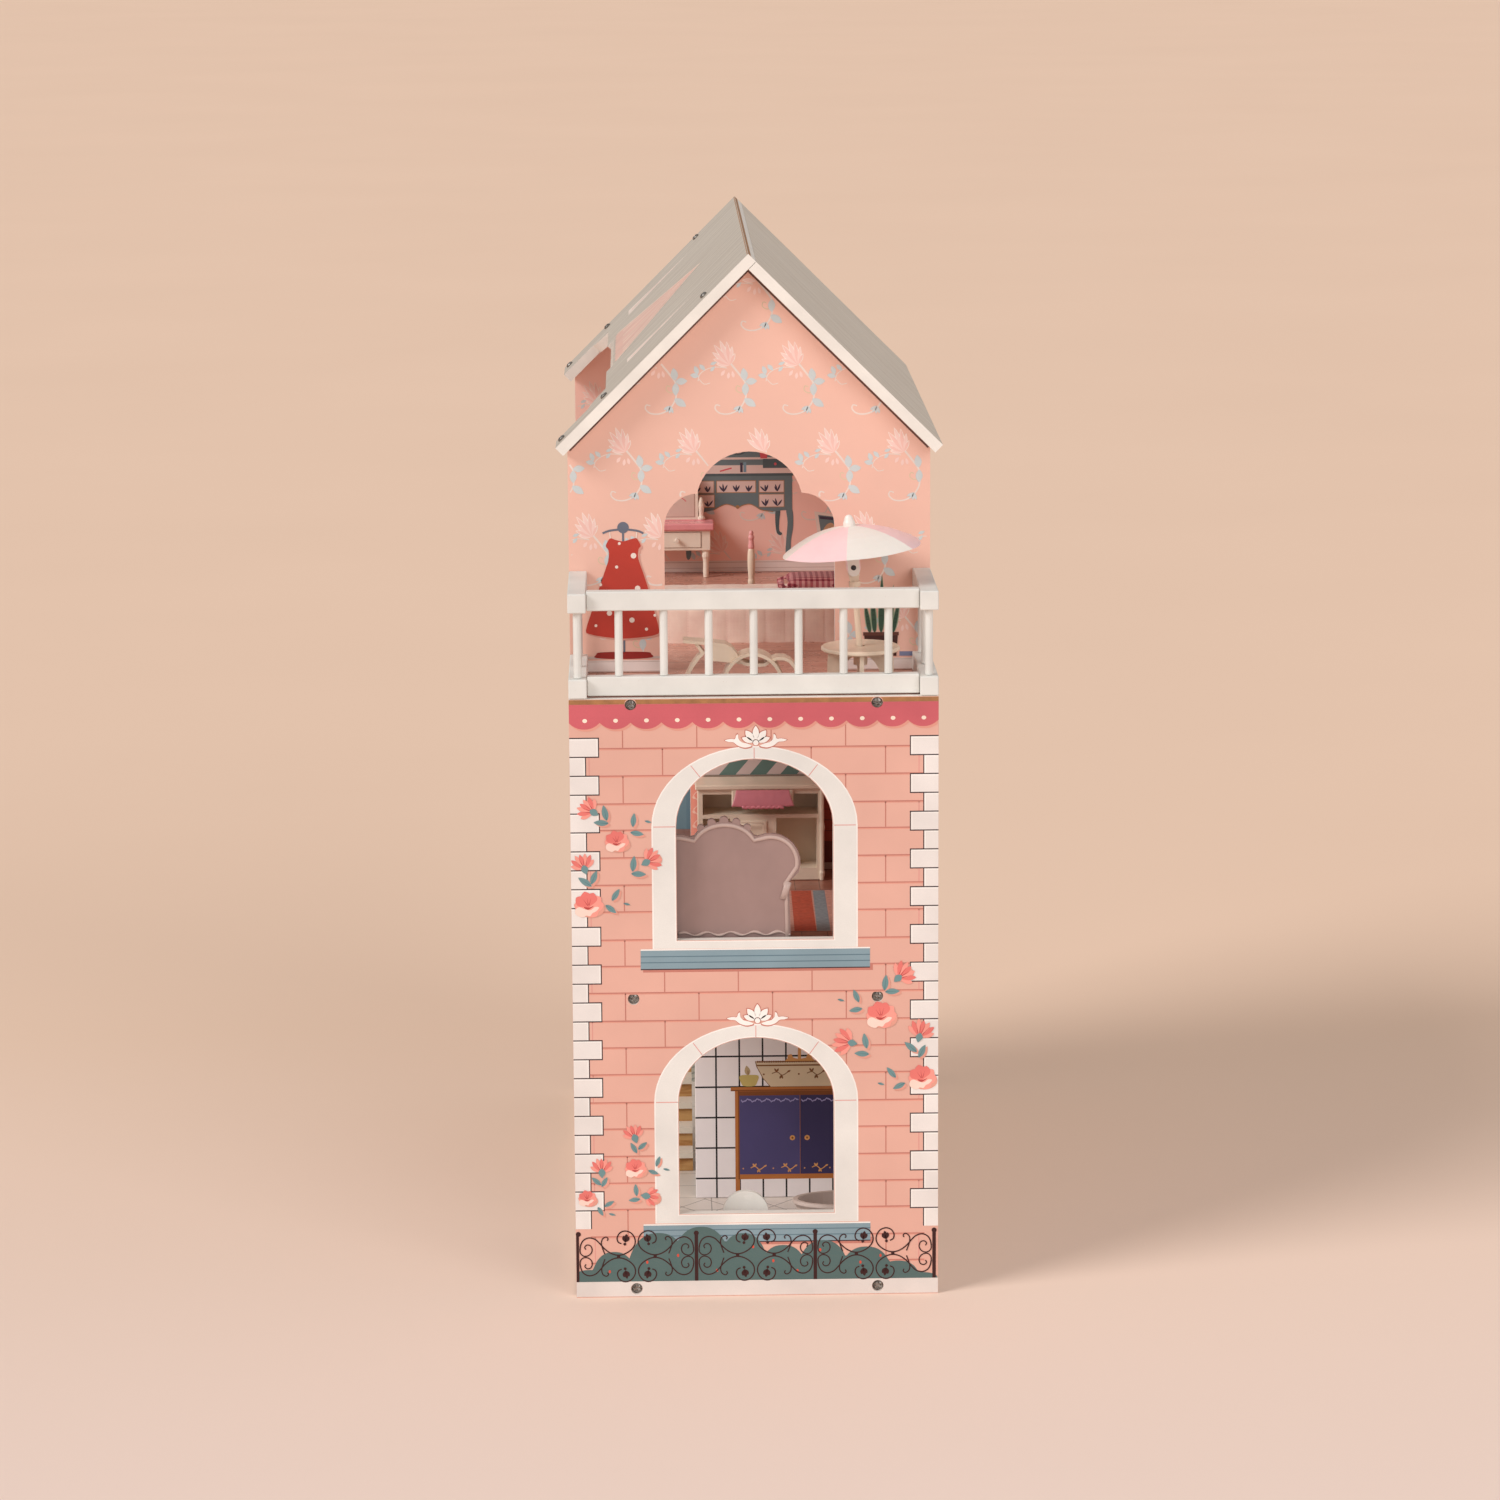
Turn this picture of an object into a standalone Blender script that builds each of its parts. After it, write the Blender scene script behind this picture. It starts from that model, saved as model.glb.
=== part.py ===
"""Three-storey wooden dollhouse for 12 cm dolls: flat MDF panels screwed together, gable roof, balcony
with railing, and its loose furniture.

Frame: metres, +Z up. Origin at the centre of the footprint on the floor. The narrow end wall with the two
arched windows faces -Y, the long open play side faces -X and the closed back faces +X.
Lengths below are millimetres; y is counted from the outer face of the front end wall.
"""

import bpy
import bmesh
import math
from mathutils import Matrix, Vector

# ---------------------------------------------------------------- driving dimensions (mm)
MM = 0.001
HALF_W = 135.0          # half of the house width
LENGTH = 600.0          # front end wall to rear edge of the roof
BOARD = 8.0             # MDF board
GAP = 0.3               # clearance between touching pieces
BASE_Z = 2.5            # underside of the base board
MID_Z = 225.0           # underside of the middle floor
DECK_Z = 446.0          # underside of the attic floor
DECK_TOP = DECK_Z + BOARD
REAR_Y = 577.0          # inner face of the rear end wall
GABLE_Y = 108.5         # outer face of the attic front gable
RIDGE_Z = 768.6
EAVE_X = 143.6
EAVE_Z = 625.9
ROOF_Y0 = 93.5
BACK_X = HALF_W - BOARD  # inner face of the back panels

WIN_HALF = 57.5         # arched window, half width of the opening
WIN = (                 # bottom, springing height, apex height of each window
    (63.8, 150.0, 198.6),
    (273.0, 358.6, 408.6),
)
SCREW_X = 90.0          # confirmat screws left and right of the centre
SCREW_Z = (6.5, 229.0, 449.5)

PART_G_Y = 222.0        # ground floor partition
PART_F_Y = 408.0        # first floor partition
PART_X = -43.0          # free edge of both partitions

STAIR_X = (-112.0, -44.5)
STAIR_Y = (300.0, 543.0)
STAIR_STEPS = 14

RAIL_W = 13.4           # side rails
RAIL_H = 14.2
RAIL_TOP = 532.4
FRONT_RAIL_Y = (6.0, 16.0)
SPINDLE_R = 2.95
SPINDLE_PITCH = 32.8

NOTCH_Y = (135.0, 550.0)  # play cut-out in the left eave
NOTCH_S = 150.0
NOTCH_RAISED = ((258.0, 432.0), 142.7)

TABLE_C = (80.3, 54.0)
TABLE_R = 29.2
TABLE_TOP = 482.4
PIVOT = (75.2, 54.0, 541.2)
CANOPY_R = 52.1
CANOPY_TURN = -96.3   # direction of the first rim corner, degrees
CANOPY_TILT = 5.4

SLOPE = math.atan2(RIDGE_Z - EAVE_Z, EAVE_X)
SLOPE_LEN = math.hypot(EAVE_X, RIDGE_Z - EAVE_Z)

for old in list(bpy.data.objects):
    bpy.data.objects.remove(old, do_unlink=True)


# ---------------------------------------------------------------- materials
def material(name, rgb, rough=0.5, metal=0.0):
    m = bpy.data.materials.new(name)
    m.use_nodes = True
    b = m.node_tree.nodes["Principled BSDF"]
    b.inputs["Base Color"].default_value = (*rgb, 1.0)
    b.inputs["Roughness"].default_value = rough
    b.inputs["Metallic"].default_value = metal
    m.diffuse_color = (*rgb, 1.0)
    return m


SALMON = material("salmon_print", (0.80, 0.42, 0.32), 0.55)
WHITE = material("white_lacquer", (0.84, 0.79, 0.75), 0.40)
SLATE = material("grey_roof_print", (0.52, 0.47, 0.41), 0.50)
FLOOR = material("brown_floor_print", (0.45, 0.24, 0.17), 0.45)
TILE = material("tile_print", (0.78, 0.72, 0.70), 0.40)
CREAM = material("cream_plastic", (0.76, 0.62, 0.47), 0.35)
STEEL = material("screw_steel", (0.55, 0.54, 0.52), 0.30, 1.0)
PINK = material("pink_plastic", (0.85, 0.45, 0.47), 0.35)
QUILT = material("quilt_fabric", (0.70, 0.40, 0.37), 0.85)
GINGHAM = material("gingham_fabric", (0.55, 0.16, 0.17), 0.85)
CANOPY = material("canopy_plastic", (0.90, 0.72, 0.72), 0.35)
MAUVE = material("mauve_plastic", (0.58, 0.44, 0.40), 0.35)


# ---------------------------------------------------------------- building blocks
def place(x, y, z):
    return Vector((x * MM, (y - LENGTH / 2) * MM, z * MM))


def finish(bm, name, mat, smooth=False, hidden=False, angle=35):
    bmesh.ops.recalc_face_normals(bm, faces=bm.faces)
    me = bpy.data.meshes.new(name)
    bm.to_mesh(me)
    bm.free()
    if smooth:
        me.shade_smooth()
        me.set_sharp_from_angle(angle=math.radians(angle))
    ob = bpy.data.objects.new(name, me)
    bpy.context.scene.collection.objects.link(ob)
    if mat:
        me.materials.append(mat)
    if hidden:
        ob.hide_render = True
        ob.display_type = "WIRE"
    return ob


def box(name, lo, hi, mat, bevel=0.0, hidden=False):
    bm = bmesh.new()
    bmesh.ops.create_cube(bm, size=1.0)
    for v in bm.verts:
        v.co = place(*[lo[i] + (v.co[i] + 0.5) * (hi[i] - lo[i]) for i in range(3)])
    if bevel:
        bmesh.ops.bevel(bm, geom=bm.edges[:], offset=bevel * MM, segments=1, affect="EDGES", profile=0.5)
    return finish(bm, name, mat, hidden=hidden)


AXES = {"y": (0, 2, 1), "x": (1, 2, 0), "z": (0, 1, 2)}


def prism(name, outline, along, a0, a1, mat, hidden=False, smooth=False):
    """A flat outline extruded along one axis: (x, z) along y, (y, z) along x, (x, y) along z."""
    i, j, k = AXES[along]
    bm = bmesh.new()
    rings = []
    for a in (a0, a1):
        ring = []
        for u, v in outline:
            c = [0, 0, 0]
            c[i], c[j], c[k] = u, v, a
            ring.append(bm.verts.new(place(*c)))
        rings.append(ring)
    n = len(outline)
    bm.faces.new(rings[0])
    bm.faces.new(rings[1][::-1])
    for m in range(n):
        bm.faces.new((rings[0][m], rings[1][m], rings[1][(m + 1) % n], rings[0][(m + 1) % n]))
    return finish(bm, name, mat, hidden=hidden, smooth=smooth)


def lathe(name, profile, centre, mat, seg=20, tilt=None, hidden=False):
    """A turned solid: profile is (radius, z) from bottom to top, closed on the axis at both ends."""
    bm = bmesh.new()
    rings = []
    cx, cy = centre
    for r, z in profile:
        if r < 1e-6:
            rings.append([bm.verts.new((cx, cy, z))])
        else:
            rings.append([
                bm.verts.new((cx + r * math.cos(2 * math.pi * t / seg), cy + r * math.sin(2 * math.pi * t / seg), z))
                for t in range(seg)
            ])
    for a, b in zip(rings, rings[1:]):
        for t in range(seg):
            u = (t + 1) % seg
            if len(a) == 1:
                bm.faces.new((a[0], b[t], b[u]))
            elif len(b) == 1:
                bm.faces.new((a[t], a[u], b[0]))
            else:
                bm.faces.new((a[t], a[u], b[u], b[t]))
    if len(rings[0]) > 1:
        bm.faces.new(rings[0][::-1])
    if len(rings[-1]) > 1:
        bm.faces.new(rings[-1])
    if tilt is not None:
        bmesh.ops.transform(bm, matrix=tilt, verts=bm.verts)
    for v in bm.verts:
        v.co = place(*v.co)
    return finish(bm, name, mat, smooth=True, hidden=hidden)


def rod(name, p0, p1, r, mat, seg=12, hidden=False, r1=None):
    p0, p1 = Vector(p0), Vector(p1)
    axis = (p1 - p0).normalized()
    side = axis.orthogonal().normalized()
    other = axis.cross(side)
    r1 = r if r1 is None else r1
    bm = bmesh.new()
    rings = []
    for p, rr in ((p0, r), (p1, r1)):
        rings.append([
            bm.verts.new(place(*(p + rr * (side * math.cos(2 * math.pi * t / seg) + other * math.sin(2 * math.pi * t / seg)))))
            for t in range(seg)
        ])
    for t in range(seg):
        u = (t + 1) % seg
        bm.faces.new((rings[0][t], rings[0][u], rings[1][u], rings[1][t]))
    bm.faces.new(rings[0][::-1])
    bm.faces.new(rings[1])
    return finish(bm, name, mat, smooth=True, hidden=hidden)


def sweep(name, path, half, mat, hidden=False):
    """A bar of rectangular section (half sizes across and along y) swept along a path in the x-z plane at one y."""
    bm = bmesh.new()
    rings = []
    n = len(path)
    for i, (x, y, z) in enumerate(path):
        a = Vector(path[max(i - 1, 0)])
        b = Vector(path[min(i + 1, n - 1)])
        t = (b - a).normalized()
        nrm = Vector((-t.z, 0, t.x))
        c = Vector((x, y, z))
        rings.append([
            bm.verts.new(place(*(c + nrm * (su * half[0]) + Vector((0, 1, 0)) * (sv * half[1]))))
            for su, sv in ((-1, -1), (1, -1), (1, 1), (-1, 1))
        ])
    for a, b in zip(rings, rings[1:]):
        for t in range(4):
            u = (t + 1) % 4
            bm.faces.new((a[t], a[u], b[u], b[t]))
    bm.faces.new(rings[0][::-1])
    bm.faces.new(rings[-1])
    return finish(bm, name, mat, hidden=hidden)


def cut(ob, cutter):
    cutter.hide_render = True
    cutter.display_type = "WIRE"
    m = ob.modifiers.new("cut", "BOOLEAN")
    m.operation = "DIFFERENCE"
    m.solver = "EXACT"
    m.object = cutter


def join(ob, *others):
    for o in others:
        o.hide_render = True
        o.display_type = "WIRE"
        m = ob.modifiers.new("join", "BOOLEAN")
        m.operation = "UNION"
        m.solver = "EXACT"
        m.object = o
    return ob


def arch(half, z0, spring, apex, steps=20):
    """Window outline: straight jambs and an elliptical head."""
    pts = [(-half, z0), (half, z0)]
    for i in range(steps + 1):
        t = math.pi * i / steps
        pts.append((half * math.cos(t), spring + (apex - spring) * math.sin(t)))
    return pts


def arc(cx, cz, r, a0, a1, steps):
    return [
        (cx + r * math.cos(math.radians(a0 + (a1 - a0) * i / steps)), cz + r * math.sin(math.radians(a0 + (a1 - a0) * i / steps)))
        for i in range(steps + 1)
    ]


def under(x):
    """Height of the underside of the roof boards over x."""
    return RIDGE_Z - abs(x) * math.tan(SLOPE) - BOARD / math.cos(SLOPE)


# ---------------------------------------------------------------- end walls, floors, back
def end_wall(name, y0, y1, front):
    ob = box(name, (-HALF_W, y0, 0), (HALF_W, y1, DECK_TOP), SALMON, bevel=0.3)
    for i, (z0, spring, apex) in enumerate(WIN):
        cut(ob, prism(f"{name}_window_{i}", arch(WIN_HALF, z0, spring, apex), "y", y0 - 4, y1 + 4, None, hidden=True))
    if front:
        for i, z in enumerate(SCREW_Z):
            for j, x in enumerate((-SCREW_X, SCREW_X)):
                cut(ob, rod(f"{name}_hole_{i}{j}", (x, y0 - 3, z), (x, y1 + 3, z), 2.2, None, hidden=True))
                zc = max(z, 6.5)
                cut(ob, rod(f"{name}_counterbore_{i}{j}", (x, y0 - 3, zc), (x, y0 + 3.2, zc), 4.3, None, seg=20, hidden=True))
    return ob


front_wall = end_wall("front_end_wall", 0.0, BOARD, True)
rear_wall = end_wall("rear_end_wall", REAR_Y, REAR_Y + BOARD, False)

IN_Y = (BOARD + GAP, REAR_Y - GAP)
IN_X = (-HALF_W, BACK_X - GAP)


def floor_board(name, z, screw_z):
    ob = box(name, (IN_X[0], IN_Y[0], z), (IN_X[1], IN_Y[1], z + BOARD), FLOOR, bevel=0.3)
    for j, x in enumerate((-SCREW_X, SCREW_X)):
        cut(ob, rod(f"{name}_pilot_{j}", (x, IN_Y[0] - 3, screw_z), (x, IN_Y[0] + 20, screw_z), 2.2, None, hidden=True))
    return ob


base_board = floor_board("base_board", BASE_Z, SCREW_Z[0])
mid_floor = floor_board("mid_floor", MID_Z, SCREW_Z[1])
cut(mid_floor, box("stairwell", (STAIR_X[0] - 2, 400, MID_Z - 5), (STAIR_X[1] + 2, STAIR_Y[1] + 2, MID_Z + BOARD + 5), None, hidden=True))
attic_floor = floor_board("attic_floor", DECK_Z, SCREW_Z[2])

box("back_panel_lower", (BACK_X, BOARD + GAP, 0), (HALF_W, REAR_Y - GAP, DECK_TOP), SALMON, bevel=0.3)
top = under(HALF_W) - GAP
prism("back_panel_attic", [(BACK_X, DECK_TOP + GAP), (HALF_W, DECK_TOP + GAP), (HALF_W, top), (BACK_X, top + BOARD * math.tan(SLOPE))],
      "y", GABLE_Y + BOARD + GAP, REAR_Y - GAP, SALMON)


def gable(name, y0):
    foot = DECK_TOP + GAP
    side = under(HALF_W) - GAP * 1.5
    return prism(name, [(-HALF_W, foot), (HALF_W, foot), (HALF_W, side), (0, under(0) - GAP * 1.5), (-HALF_W, side)], "y", y0, y0 + BOARD, SALMON)


attic_front = gable("attic_front_gable", GABLE_Y)
attic_rear = gable("attic_rear_gable", REAR_Y)

# trefoil doorway: two side lobes under a larger middle lobe
LOBE_R, LOBE_X, LOBE_Z = 25.6, 38.0, 563.5
MAIN_R, MAIN_Z = 39.9, 580.4
door = [(-LOBE_X - LOBE_R, DECK_TOP - 5), (LOBE_X + LOBE_R, DECK_TOP - 5)]
door += arc(LOBE_X, LOBE_Z, LOBE_R, 0, 88, 8)
door += arc(0, MAIN_Z, MAIN_R, 14, 166, 20)
door += arc(-LOBE_X, LOBE_Z, LOBE_R, 92, 180, 8)
cut(attic_front, prism("doorway", door, "y", GABLE_Y - 5, GABLE_Y + BOARD + 5, None, hidden=True))

# ---------------------------------------------------------------- roof: the left panel laps over the edge of the right one
ux, uz = math.cos(SLOPE), math.sin(SLOPE)


def slope_point(s, depth, side):
    """Point on the slope: s down from the ridge, depth below the outer face; side -1 is left."""
    return (side * (s * ux - depth * uz), RIDGE_Z - s * uz - depth * ux)


ridge = (0.0, RIDGE_Z)
lap = (BOARD * ux, RIDGE_Z - BOARD * uz)
left_eave_out, left_eave_in = slope_point(SLOPE_LEN, 0, -1), slope_point(SLOPE_LEN, BOARD, -1)
left_in_top = (lap[0], lap[1])
roof_left = prism("roof_panel_left", [ridge, lap, left_eave_in, left_eave_out], "y", ROOF_Y0, LENGTH, SLATE)
s0 = BOARD + GAP
roof_right = prism("roof_panel_right", [slope_point(s0, 0, 1), slope_point(SLOPE_LEN, 0, 1), slope_point(SLOPE_LEN, BOARD, 1), slope_point(s0, BOARD, 1)],
                   "y", ROOF_Y0, LENGTH, SLATE)

# outline of the play cut-out in (y, s); it has quarter-round shoulders and a toothed raised middle
notch = [(NOTCH_Y[0], 215.0), (NOTCH_Y[0], NOTCH_S + 18)]
notch += [(NOTCH_Y[0] + 18 * math.sin(math.radians(a)), NOTCH_S + 18 * math.cos(math.radians(a))) for a in range(15, 91, 15)]
(ry0, ry1), rs = NOTCH_RAISED
notch += [(ry0, NOTCH_S), (ry0, rs)]
TEETH = 14
step = (ry1 - ry0) / TEETH
for i in range(TEETH):
    ya = ry0 + i * step
    notch += [(ya + step * 0.25, rs), (ya + step * 0.25, rs + 3.0), (ya + step * 0.75, rs + 3.0), (ya + step * 0.75, rs)]
notch += [(ry1, rs), (ry1, NOTCH_S)]
notch += [(NOTCH_Y[1] - 18 * math.sin(math.radians(a)), NOTCH_S + 18 * math.cos(math.radians(a))) for a in range(90, 14, -15)]
notch += [(NOTCH_Y[1], NOTCH_S + 18), (NOTCH_Y[1], 215.0)]
bm = bmesh.new()
rings = []
for depth in (-6.0, BOARD + 6.0):
    rings.append([bm.verts.new(place(slope_point(s, depth, -1)[0], y, slope_point(s, depth, -1)[1])) for y, s in notch])
bm.faces.new(rings[0])
bm.faces.new(rings[1][::-1])
for m in range(len(notch)):
    n = (m + 1) % len(notch)
    bm.faces.new((rings[0][m], rings[1][m], rings[1][n], rings[0][n]))
cut(roof_left, finish(bm, "play_cutout", None, hidden=True))

# ---------------------------------------------------------------- partitions and stairs
box("ground_partition", (PART_X, PART_G_Y, BASE_Z + BOARD + GAP), (IN_X[1], PART_G_Y + BOARD, MID_Z - GAP), TILE, bevel=0.3)
box("first_floor_partition", (PART_X, PART_F_Y, MID_Z + BOARD + GAP), (IN_X[1], PART_F_Y + BOARD, DECK_Z - GAP), WHITE, bevel=0.3)

z_floor = BASE_Z + BOARD + GAP
rise = (MID_Z + BOARD - z_floor) / STAIR_STEPS
run = (STAIR_Y[1] - STAIR_Y[0]) / STAIR_STEPS
profile = [(STAIR_Y[0], z_floor)]
for i in range(STAIR_STEPS):
    zt = z_floor + rise * (i + 1) - (GAP if i == STAIR_STEPS - 1 else 0)
    y0 = STAIR_Y[0] + run * i
    profile += [(y0, zt - 5.0), (y0 - 2.0, zt - 5.0), (y0 - 2.0, zt)]
    if i < STAIR_STEPS - 1:
        profile.append((y0 + run, zt))
profile += [(STAIR_Y[1], MID_Z + BOARD - GAP), (STAIR_Y[1], MID_Z + BOARD - rise - 10), (STAIR_Y[0] + 1.3 * run, z_floor)]
prism("staircase", profile, "x", STAIR_X[0], STAIR_X[1], CREAM)

# ---------------------------------------------------------------- balcony railing
rail_y = (0.3, GABLE_Y - GAP)
for side, sx in (("left", -1), ("right", 1)):
    xa, xb = sorted((sx * HALF_W, sx * (HALF_W - RAIL_W)))
    box(f"{side}_bottom_rail", (xa, rail_y[0], DECK_TOP + GAP), (xb, rail_y[1], DECK_TOP + GAP + RAIL_H), WHITE, bevel=0.7)
    box(f"{side}_top_rail", (xa, rail_y[0], RAIL_TOP - RAIL_H - 0.8), (xb, rail_y[1], RAIL_TOP - 0.8), WHITE, bevel=0.7)
    for i, y in enumerate((7.5, 54.0, 100.5)):
        x = sx * (HALF_W - RAIL_W / 2)
        rod(f"{side}_spindle_{i + 1}", (x, y, DECK_TOP + 2 * GAP + RAIL_H), (x, y, RAIL_TOP - RAIL_H - 0.8 - GAP), SPINDLE_R, WHITE, seg=14)
fx = HALF_W - RAIL_W - GAP
box("front_bottom_rail", (-fx, FRONT_RAIL_Y[0], DECK_TOP + 1.3), (fx, FRONT_RAIL_Y[1], DECK_TOP + 1.3 + RAIL_H), WHITE, bevel=0.7)
box("front_top_rail", (-fx, FRONT_RAIL_Y[0], RAIL_TOP - RAIL_H), (fx, FRONT_RAIL_Y[1], RAIL_TOP), WHITE, bevel=0.7)
for i in range(7):
    x = 0.4 + SPINDLE_PITCH * (i - 3)
    y = sum(FRONT_RAIL_Y) / 2
    rod(f"front_spindle_{i + 1}", (x, y, DECK_TOP + 1.3 + GAP + RAIL_H), (x, y, RAIL_TOP - RAIL_H - GAP), SPINDLE_R, WHITE, seg=14)

# ---------------------------------------------------------------- screws
n = 0
for z in SCREW_Z:
    for x in (-SCREW_X, SCREW_X):
        n += 1
        head = rod(f"wall_screw_{n}", (x, 1.2, z), (x, 2.9, z), 3.9, STEEL, seg=16)
        join(head, rod(f"wall_screw_shank_{n}", (x, 2.5, z), (x, 24.0, z), 1.8, STEEL, seg=8))
n = 0
for yc in (GABLE_Y + BOARD / 2, REAR_Y + BOARD / 2):
    for s in (46.0, 151.0, 196.0):
        n += 1
        px, pz = slope_point(s, 0, -1)
        out = Vector((-uz, 0, ux))
        deep = 16.0 if s < 180 else 6.0
        wide = 2.5
        foot = Vector((px, yc, pz)) + out * GAP
        tip = Vector((px, yc, pz)) - out * deep
        dome = rod(f"roof_screw_{n}", foot, foot + out * 0.9, wide, STEEL, seg=14, r1=wide * 0.92)
        join(dome, rod(f"roof_screw_dome_{n}", foot + out * 0.8, foot + out * 1.7, wide * 0.90, STEEL, seg=14, r1=wide * 0.45))
        join(dome, rod(f"roof_screw_shank_{n}", foot + out * 0.4, tip, 1.2, STEEL, seg=8))
        hole = rod(f"roof_hole_{n}", foot + out * 4, tip - out * 1.0, 1.6, None, seg=10, hidden=True)
        cut(roof_left, hole)
        if s < 180:
            cut(attic_front if n <= 3 else attic_rear, hole)


# ---------------------------------------------------------------- balcony table, umbrella, lounge chair
tx, ty = TABLE_C
deck = DECK_TOP + GAP
table = lathe("balcony_table", [(0, TABLE_TOP - 3.4), (TABLE_R - 1.2, TABLE_TOP - 3.4), (TABLE_R, TABLE_TOP - 2.4), (TABLE_R, TABLE_TOP - 1.0), (TABLE_R - 1.0, TABLE_TOP), (0, TABLE_TOP)],
              TABLE_C, CREAM, seg=36)
leg_h = TABLE_TOP - 3.0


def arch_leg(c):
    pts = [(c - 25.0, deck), (c - 17.0, deck)]
    pts += [(c + 15.0 * math.cos(math.radians(a)), deck + 2 + 19.5 * math.sin(math.radians(a))) for a in range(180, -1, -15)]
    pts += [(c + 17.0, deck), (c + 25.0, deck), (c + 24.0, leg_h), (c - 24.0, leg_h)]
    return pts


join(table,
     prism("table_leg_a", arch_leg(tx), "y", ty - 1.6, ty + 1.6, CREAM),
     prism("table_leg_b", arch_leg(ty), "x", tx - 1.6, tx + 1.6, CREAM),
     lathe("table_hub", [(0, TABLE_TOP - 14), (5.2, TABLE_TOP - 14), (5.2, TABLE_TOP - 1), (0, TABLE_TOP - 1)], TABLE_C, CREAM, seg=16))
cut(table, lathe("table_socket", [(0, TABLE_TOP - 12), (3.5, TABLE_TOP - 12), (3.5, TABLE_TOP + 5), (0, TABLE_TOP + 5)], TABLE_C, None, seg=16, hidden=True))

# the pole leans a little with its bracket over the table's centre
lean = (PIVOT[0] - tx) / (PIVOT[2] - (TABLE_TOP - 11))


def pole_x(z):
    return tx + lean * (z - (TABLE_TOP - 11))


pole = rod("umbrella_pole", (pole_x(TABLE_TOP - 11.5) + 0.1, ty, TABLE_TOP - 11.5), (pole_x(531), ty, 531), 2.3, CREAM, seg=14)
zc = 528.8
join(pole,
     rod("pole_collar", (pole_x(zc - 1.8), ty, zc - 1.8), (pole_x(zc + 1.8), ty, zc + 1.8), 4.3, CREAM, seg=14),
     prism("pole_tab", [(pole_x(529) - 2.9, 529), (pole_x(529) + 2.9, 529), (PIVOT[0] + 4.3, PIVOT[2] - 3.6), (PIVOT[0] + 4.9, PIVOT[2]), (PIVOT[0] + 3.4, PIVOT[2] + 4.0), (PIVOT[0] - 3.4, PIVOT[2] + 4.0), (PIVOT[0] - 4.9, PIVOT[2]), (PIVOT[0] - 4.3, PIVOT[2] - 3.6)],
           "y", ty - 1.3, ty + 1.3, CREAM))
cut(pole, rod("pole_pivot_hole", (PIVOT[0], ty - 5, PIVOT[2]), (PIVOT[0], ty + 5, PIVOT[2]), 1.9, None, seg=14, hidden=True))

# canopy: a six-panel shell, 1.4 thick, on a fork that pivots on the pole's tab
tilt = Matrix.Translation(Vector(PIVOT)) @ Matrix.Rotation(math.radians(-CANOPY_TILT), 4, "Y") @ Matrix.Translation(-Vector(PIVOT))
RIM_Z, CROWN_Z = PIVOT[2] + 13.7, PIVOT[2] + 31.1


def canopy_surface(name, r_out, z_rim, z_crown, mat):
    """Six curved panels meeting in ribs; each rim edge bows out and droops a little between its corners."""
    bm = bmesh.new()
    seg, rows = 36, 7
    rings = []
    for rr, zr, zc2 in ((r_out, z_rim, z_crown), (r_out - 1.7, z_rim, z_crown - 1.4)):
        grid = []
        for j in range(rows):
            f = 1 - j / rows
            ring = []
            for t in range(seg):
                u = (t % 6) / 6.0
                a = math.radians(CANOPY_TURN) + 2 * math.pi * t / seg
                chord = math.cos(math.pi / 6) / math.cos(math.radians(60 * u - 30))
                r = rr * f * (1 - (1 - chord) * 0.45)
                z = zr + (zc2 - zr) * (1 - f ** 1.95) - 0.9 * math.sin(math.pi * u) * f ** 3
                ring.append(bm.verts.new((PIVOT[0] + 1.04 * r * math.cos(a), PIVOT[1] + r * math.sin(a), z)))
            grid.append(ring)
        grid.append([bm.verts.new((PIVOT[0], PIVOT[1], zc2))])
        rings.append(grid)
    for layer, grid in enumerate(rings):
        for a, b in zip(grid, grid[1:]):
            for t in range(seg):
                u = (t + 1) % seg
                f = (a[t], a[u], b[0]) if len(b) == 1 else (a[t], a[u], b[u], b[t])
                bm.faces.new(f if layer == 0 else f[::-1])
    for t in range(seg):
        u = (t + 1) % seg
        bm.faces.new((rings[0][0][u], rings[0][0][t], rings[1][0][t], rings[1][0][u]))
    bmesh.ops.transform(bm, matrix=tilt, verts=bm.verts)
    for v in bm.verts:
        v.co = place(*v.co)
    return finish(bm, name, mat, smooth=True, angle=20)


canopy = canopy_surface("umbrella_canopy", CANOPY_R, RIM_Z, CROWN_Z, CANOPY)
px, py, pz = PIVOT
hub = [(-5.2, pz - 1.0), (-3.6, pz - 5.0), (-1.6, pz - 6.4), (1.6, pz - 6.4), (3.6, pz - 5.0), (5.2, pz - 1.0), (5.2, pz + 12.0), (3.4, pz + 29.5), (-3.4, pz + 29.5), (-5.2, pz + 12.0)]


def tilted_prism(name, pts, y0, y1, mat):
    ob = prism(name, [(px + x, z) for x, z in pts], "y", y0, y1, mat)
    ang = math.radians(-CANOPY_TILT)
    for v in ob.data.vertices:
        dx, dz = v.co.x - px * MM, v.co.z - pz * MM
        v.co.x = px * MM + dx * math.cos(ang) + dz * math.sin(ang)
        v.co.z = pz * MM - dx * math.sin(ang) + dz * math.cos(ang)
    return ob


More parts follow.
